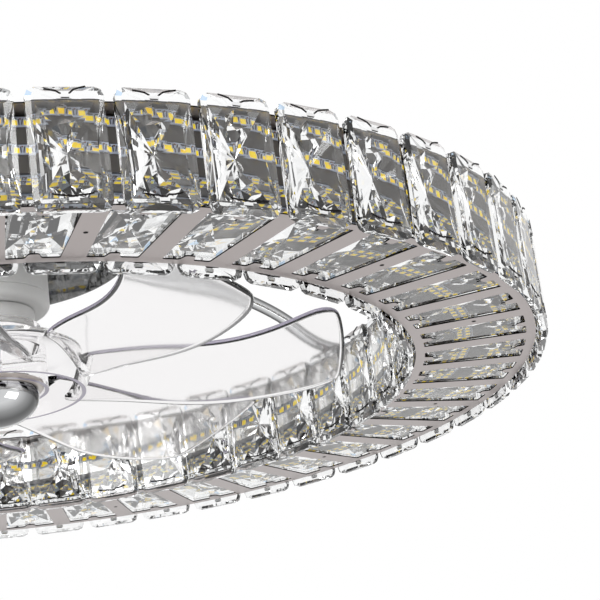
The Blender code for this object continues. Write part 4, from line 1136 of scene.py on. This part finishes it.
def white_surround(stage):
    """A world that lights evenly and is plain white to the eye, in mirrors and through glass."""
    world = bpy.data.worlds.new("Studio")
    bpy.context.scene.world = world
    world.use_nodes = True
    tree = world.node_tree
    white = seen_by(tree, "Is Camera Ray", "Is Glossy Ray", "Is Transmission Ray")
    level = add_node(tree, "MapRange", {"Value": white, "To Min": stage.sky, "To Max": 1.0})
    background = tree.nodes["Background"].inputs
    background["Color"].default_value = (1.0, 1.0, 1.0, 1.0)
    tree.links.new(level.outputs["Result"], background["Strength"])


def fade_floor(stage):
    """Let the floor fade to white far out, and show as plain white in mirrors and glass."""
    tree = bpy.data.materials["Floor"].node_tree
    place = add_node(tree, "TexCoord", {}).outputs["Object"]
    away = add_node(tree, "VectorMath", {0: place}, operation="LENGTH").outputs["Value"]
    near, far = (part * stage.floor_half for part in FADE)
    fade = add_node(tree, "MapRange", {"Value": away, "From Min": near, "From Max": far},
                    interpolation_type="SMOOTHSTEP").outputs["Result"]
    white = math_node(tree, "MULTIPLY_ADD", seen_by(tree, "Is Camera Ray"), fade,
                      seen_by(tree, "Is Glossy Ray", "Is Transmission Ray"), clamp=True)
    mixed = add_node(tree, "MixShader", {"Fac": white, 1: tree.nodes["Principled BSDF"].outputs["BSDF"],
                                         2: add_node(tree, "Emission", {}).outputs["Emission"]})
    tree.links.new(mixed.outputs["Shader"], tree.nodes["Material Output"].inputs["Surface"])


def soft_box(name, place, side, power):
    """A square lamp that looks at the fan."""
    lamp = bpy.data.lights.new(name, "AREA")
    lamp.shape = "RECTANGLE"
    lamp.size = lamp.size_y = side
    lamp.energy = power
    obj = add_object(name, lamp)
    obj.location = place
    obj.rotation_euler = (Vector(LAMP_AIM) - Vector(place)).to_track_quat("-Z", "Y").to_euler()


class CRYSTALFAN_OT_stage(bpy.types.Operator):
    """Build the floor, the lights and the camera"""
    bl_idname = "crystalfan.stage"
    bl_label = "Stage"

    def execute(self, context):
        stage = context.scene.crystalfan_stage
        scene = context.scene
        scene.view_settings.view_transform = "Standard"
        white_surround(stage)
        fade_floor(stage)
        bm = bmesh.new()
        bmesh.ops.create_grid(bm, x_segments=2, y_segments=2, size=stage.floor_half,
                              matrix=Matrix.Translation((0, 0, stage.floor_level)))
        floor = add_object("floor", to_mesh("floor", bm))
        floor.data.materials.append(bpy.data.materials["Floor"])
        for name, place, side, power in LAMPS:
            soft_box(name, place, side, getattr(stage, power))
        lens = bpy.data.cameras.new("camera")
        lens.lens = stage.lens
        lens.sensor_width = stage.sensor
        camera = add_object("camera", lens)
        camera.location = (0.0, stage.camera_y, stage.camera_z)
        aim = (Matrix.Rotation(radians(stage.pan), 3, "Z") @ Matrix.Rotation(radians(stage.tilt), 3, "X")
               @ Matrix.Rotation(radians(stage.roll), 3, "Y") @ Matrix.Rotation(pi / 2, 3, "X"))
        camera.rotation_euler = aim.to_euler()
        scene.camera = camera
        return {"FINISHED"}


class CRYSTALFAN_PT_panel(bpy.types.Panel):
    """Sizes, colours and steps of the crystal ceiling fan"""
    bl_idname = "CRYSTALFAN_PT_panel"
    bl_label = "Crystal ceiling fan"
    bl_space_type = "VIEW_3D"
    bl_region_type = "UI"
    bl_category = "Crystal fan"

    def draw(self, context):
        for group in GROUPS:
            box = self.layout.box()
            box.label(text=GROUPS[group].__doc__)
            settings = getattr(context.scene, group)
            for prop in GROUPS[group].__annotations__:
                box.prop(settings, prop)
        for step in STEPS:
            self.layout.operator(step.bl_idname)


GROUPS = {
    "crystalfan_crystals": CrystalSizes,
    "crystalfan_ring": RingSizes,
    "crystalfan_fan": FanSizes,
    "crystalfan_mount": MountSizes,
    "crystalfan_finishes": Finishes,
    "crystalfan_stage": StageSizes,
}
STEPS = (
    CRYSTALFAN_OT_finishes, CRYSTALFAN_OT_stage, CRYSTALFAN_OT_crystals, CRYSTALFAN_OT_plates,
    CRYSTALFAN_OT_light_core, CRYSTALFAN_OT_canopy, CRYSTALFAN_OT_motor, CRYSTALFAN_OT_impeller,
    CRYSTALFAN_OT_cap, CRYSTALFAN_OT_arms, CRYSTALFAN_OT_carried_nodes,
)


def register():
    for kind in (*GROUPS.values(), *STEPS, CRYSTALFAN_PT_panel):
        bpy.utils.register_class(kind)
    for name, kind in GROUPS.items():
        setattr(bpy.types.Scene, name, bpy.props.PointerProperty(type=kind))


def unregister():
    for name in GROUPS:
        delattr(bpy.types.Scene, name)
    for kind in (CRYSTALFAN_PT_panel, *reversed(STEPS), *GROUPS.values()):
        bpy.utils.unregister_class(kind)


def main():
    register()
    for step in STEPS:
        area, name = step.bl_idname.split(".")
        getattr(getattr(bpy.ops, area), name)()


if __name__ == "__main__":
    main()
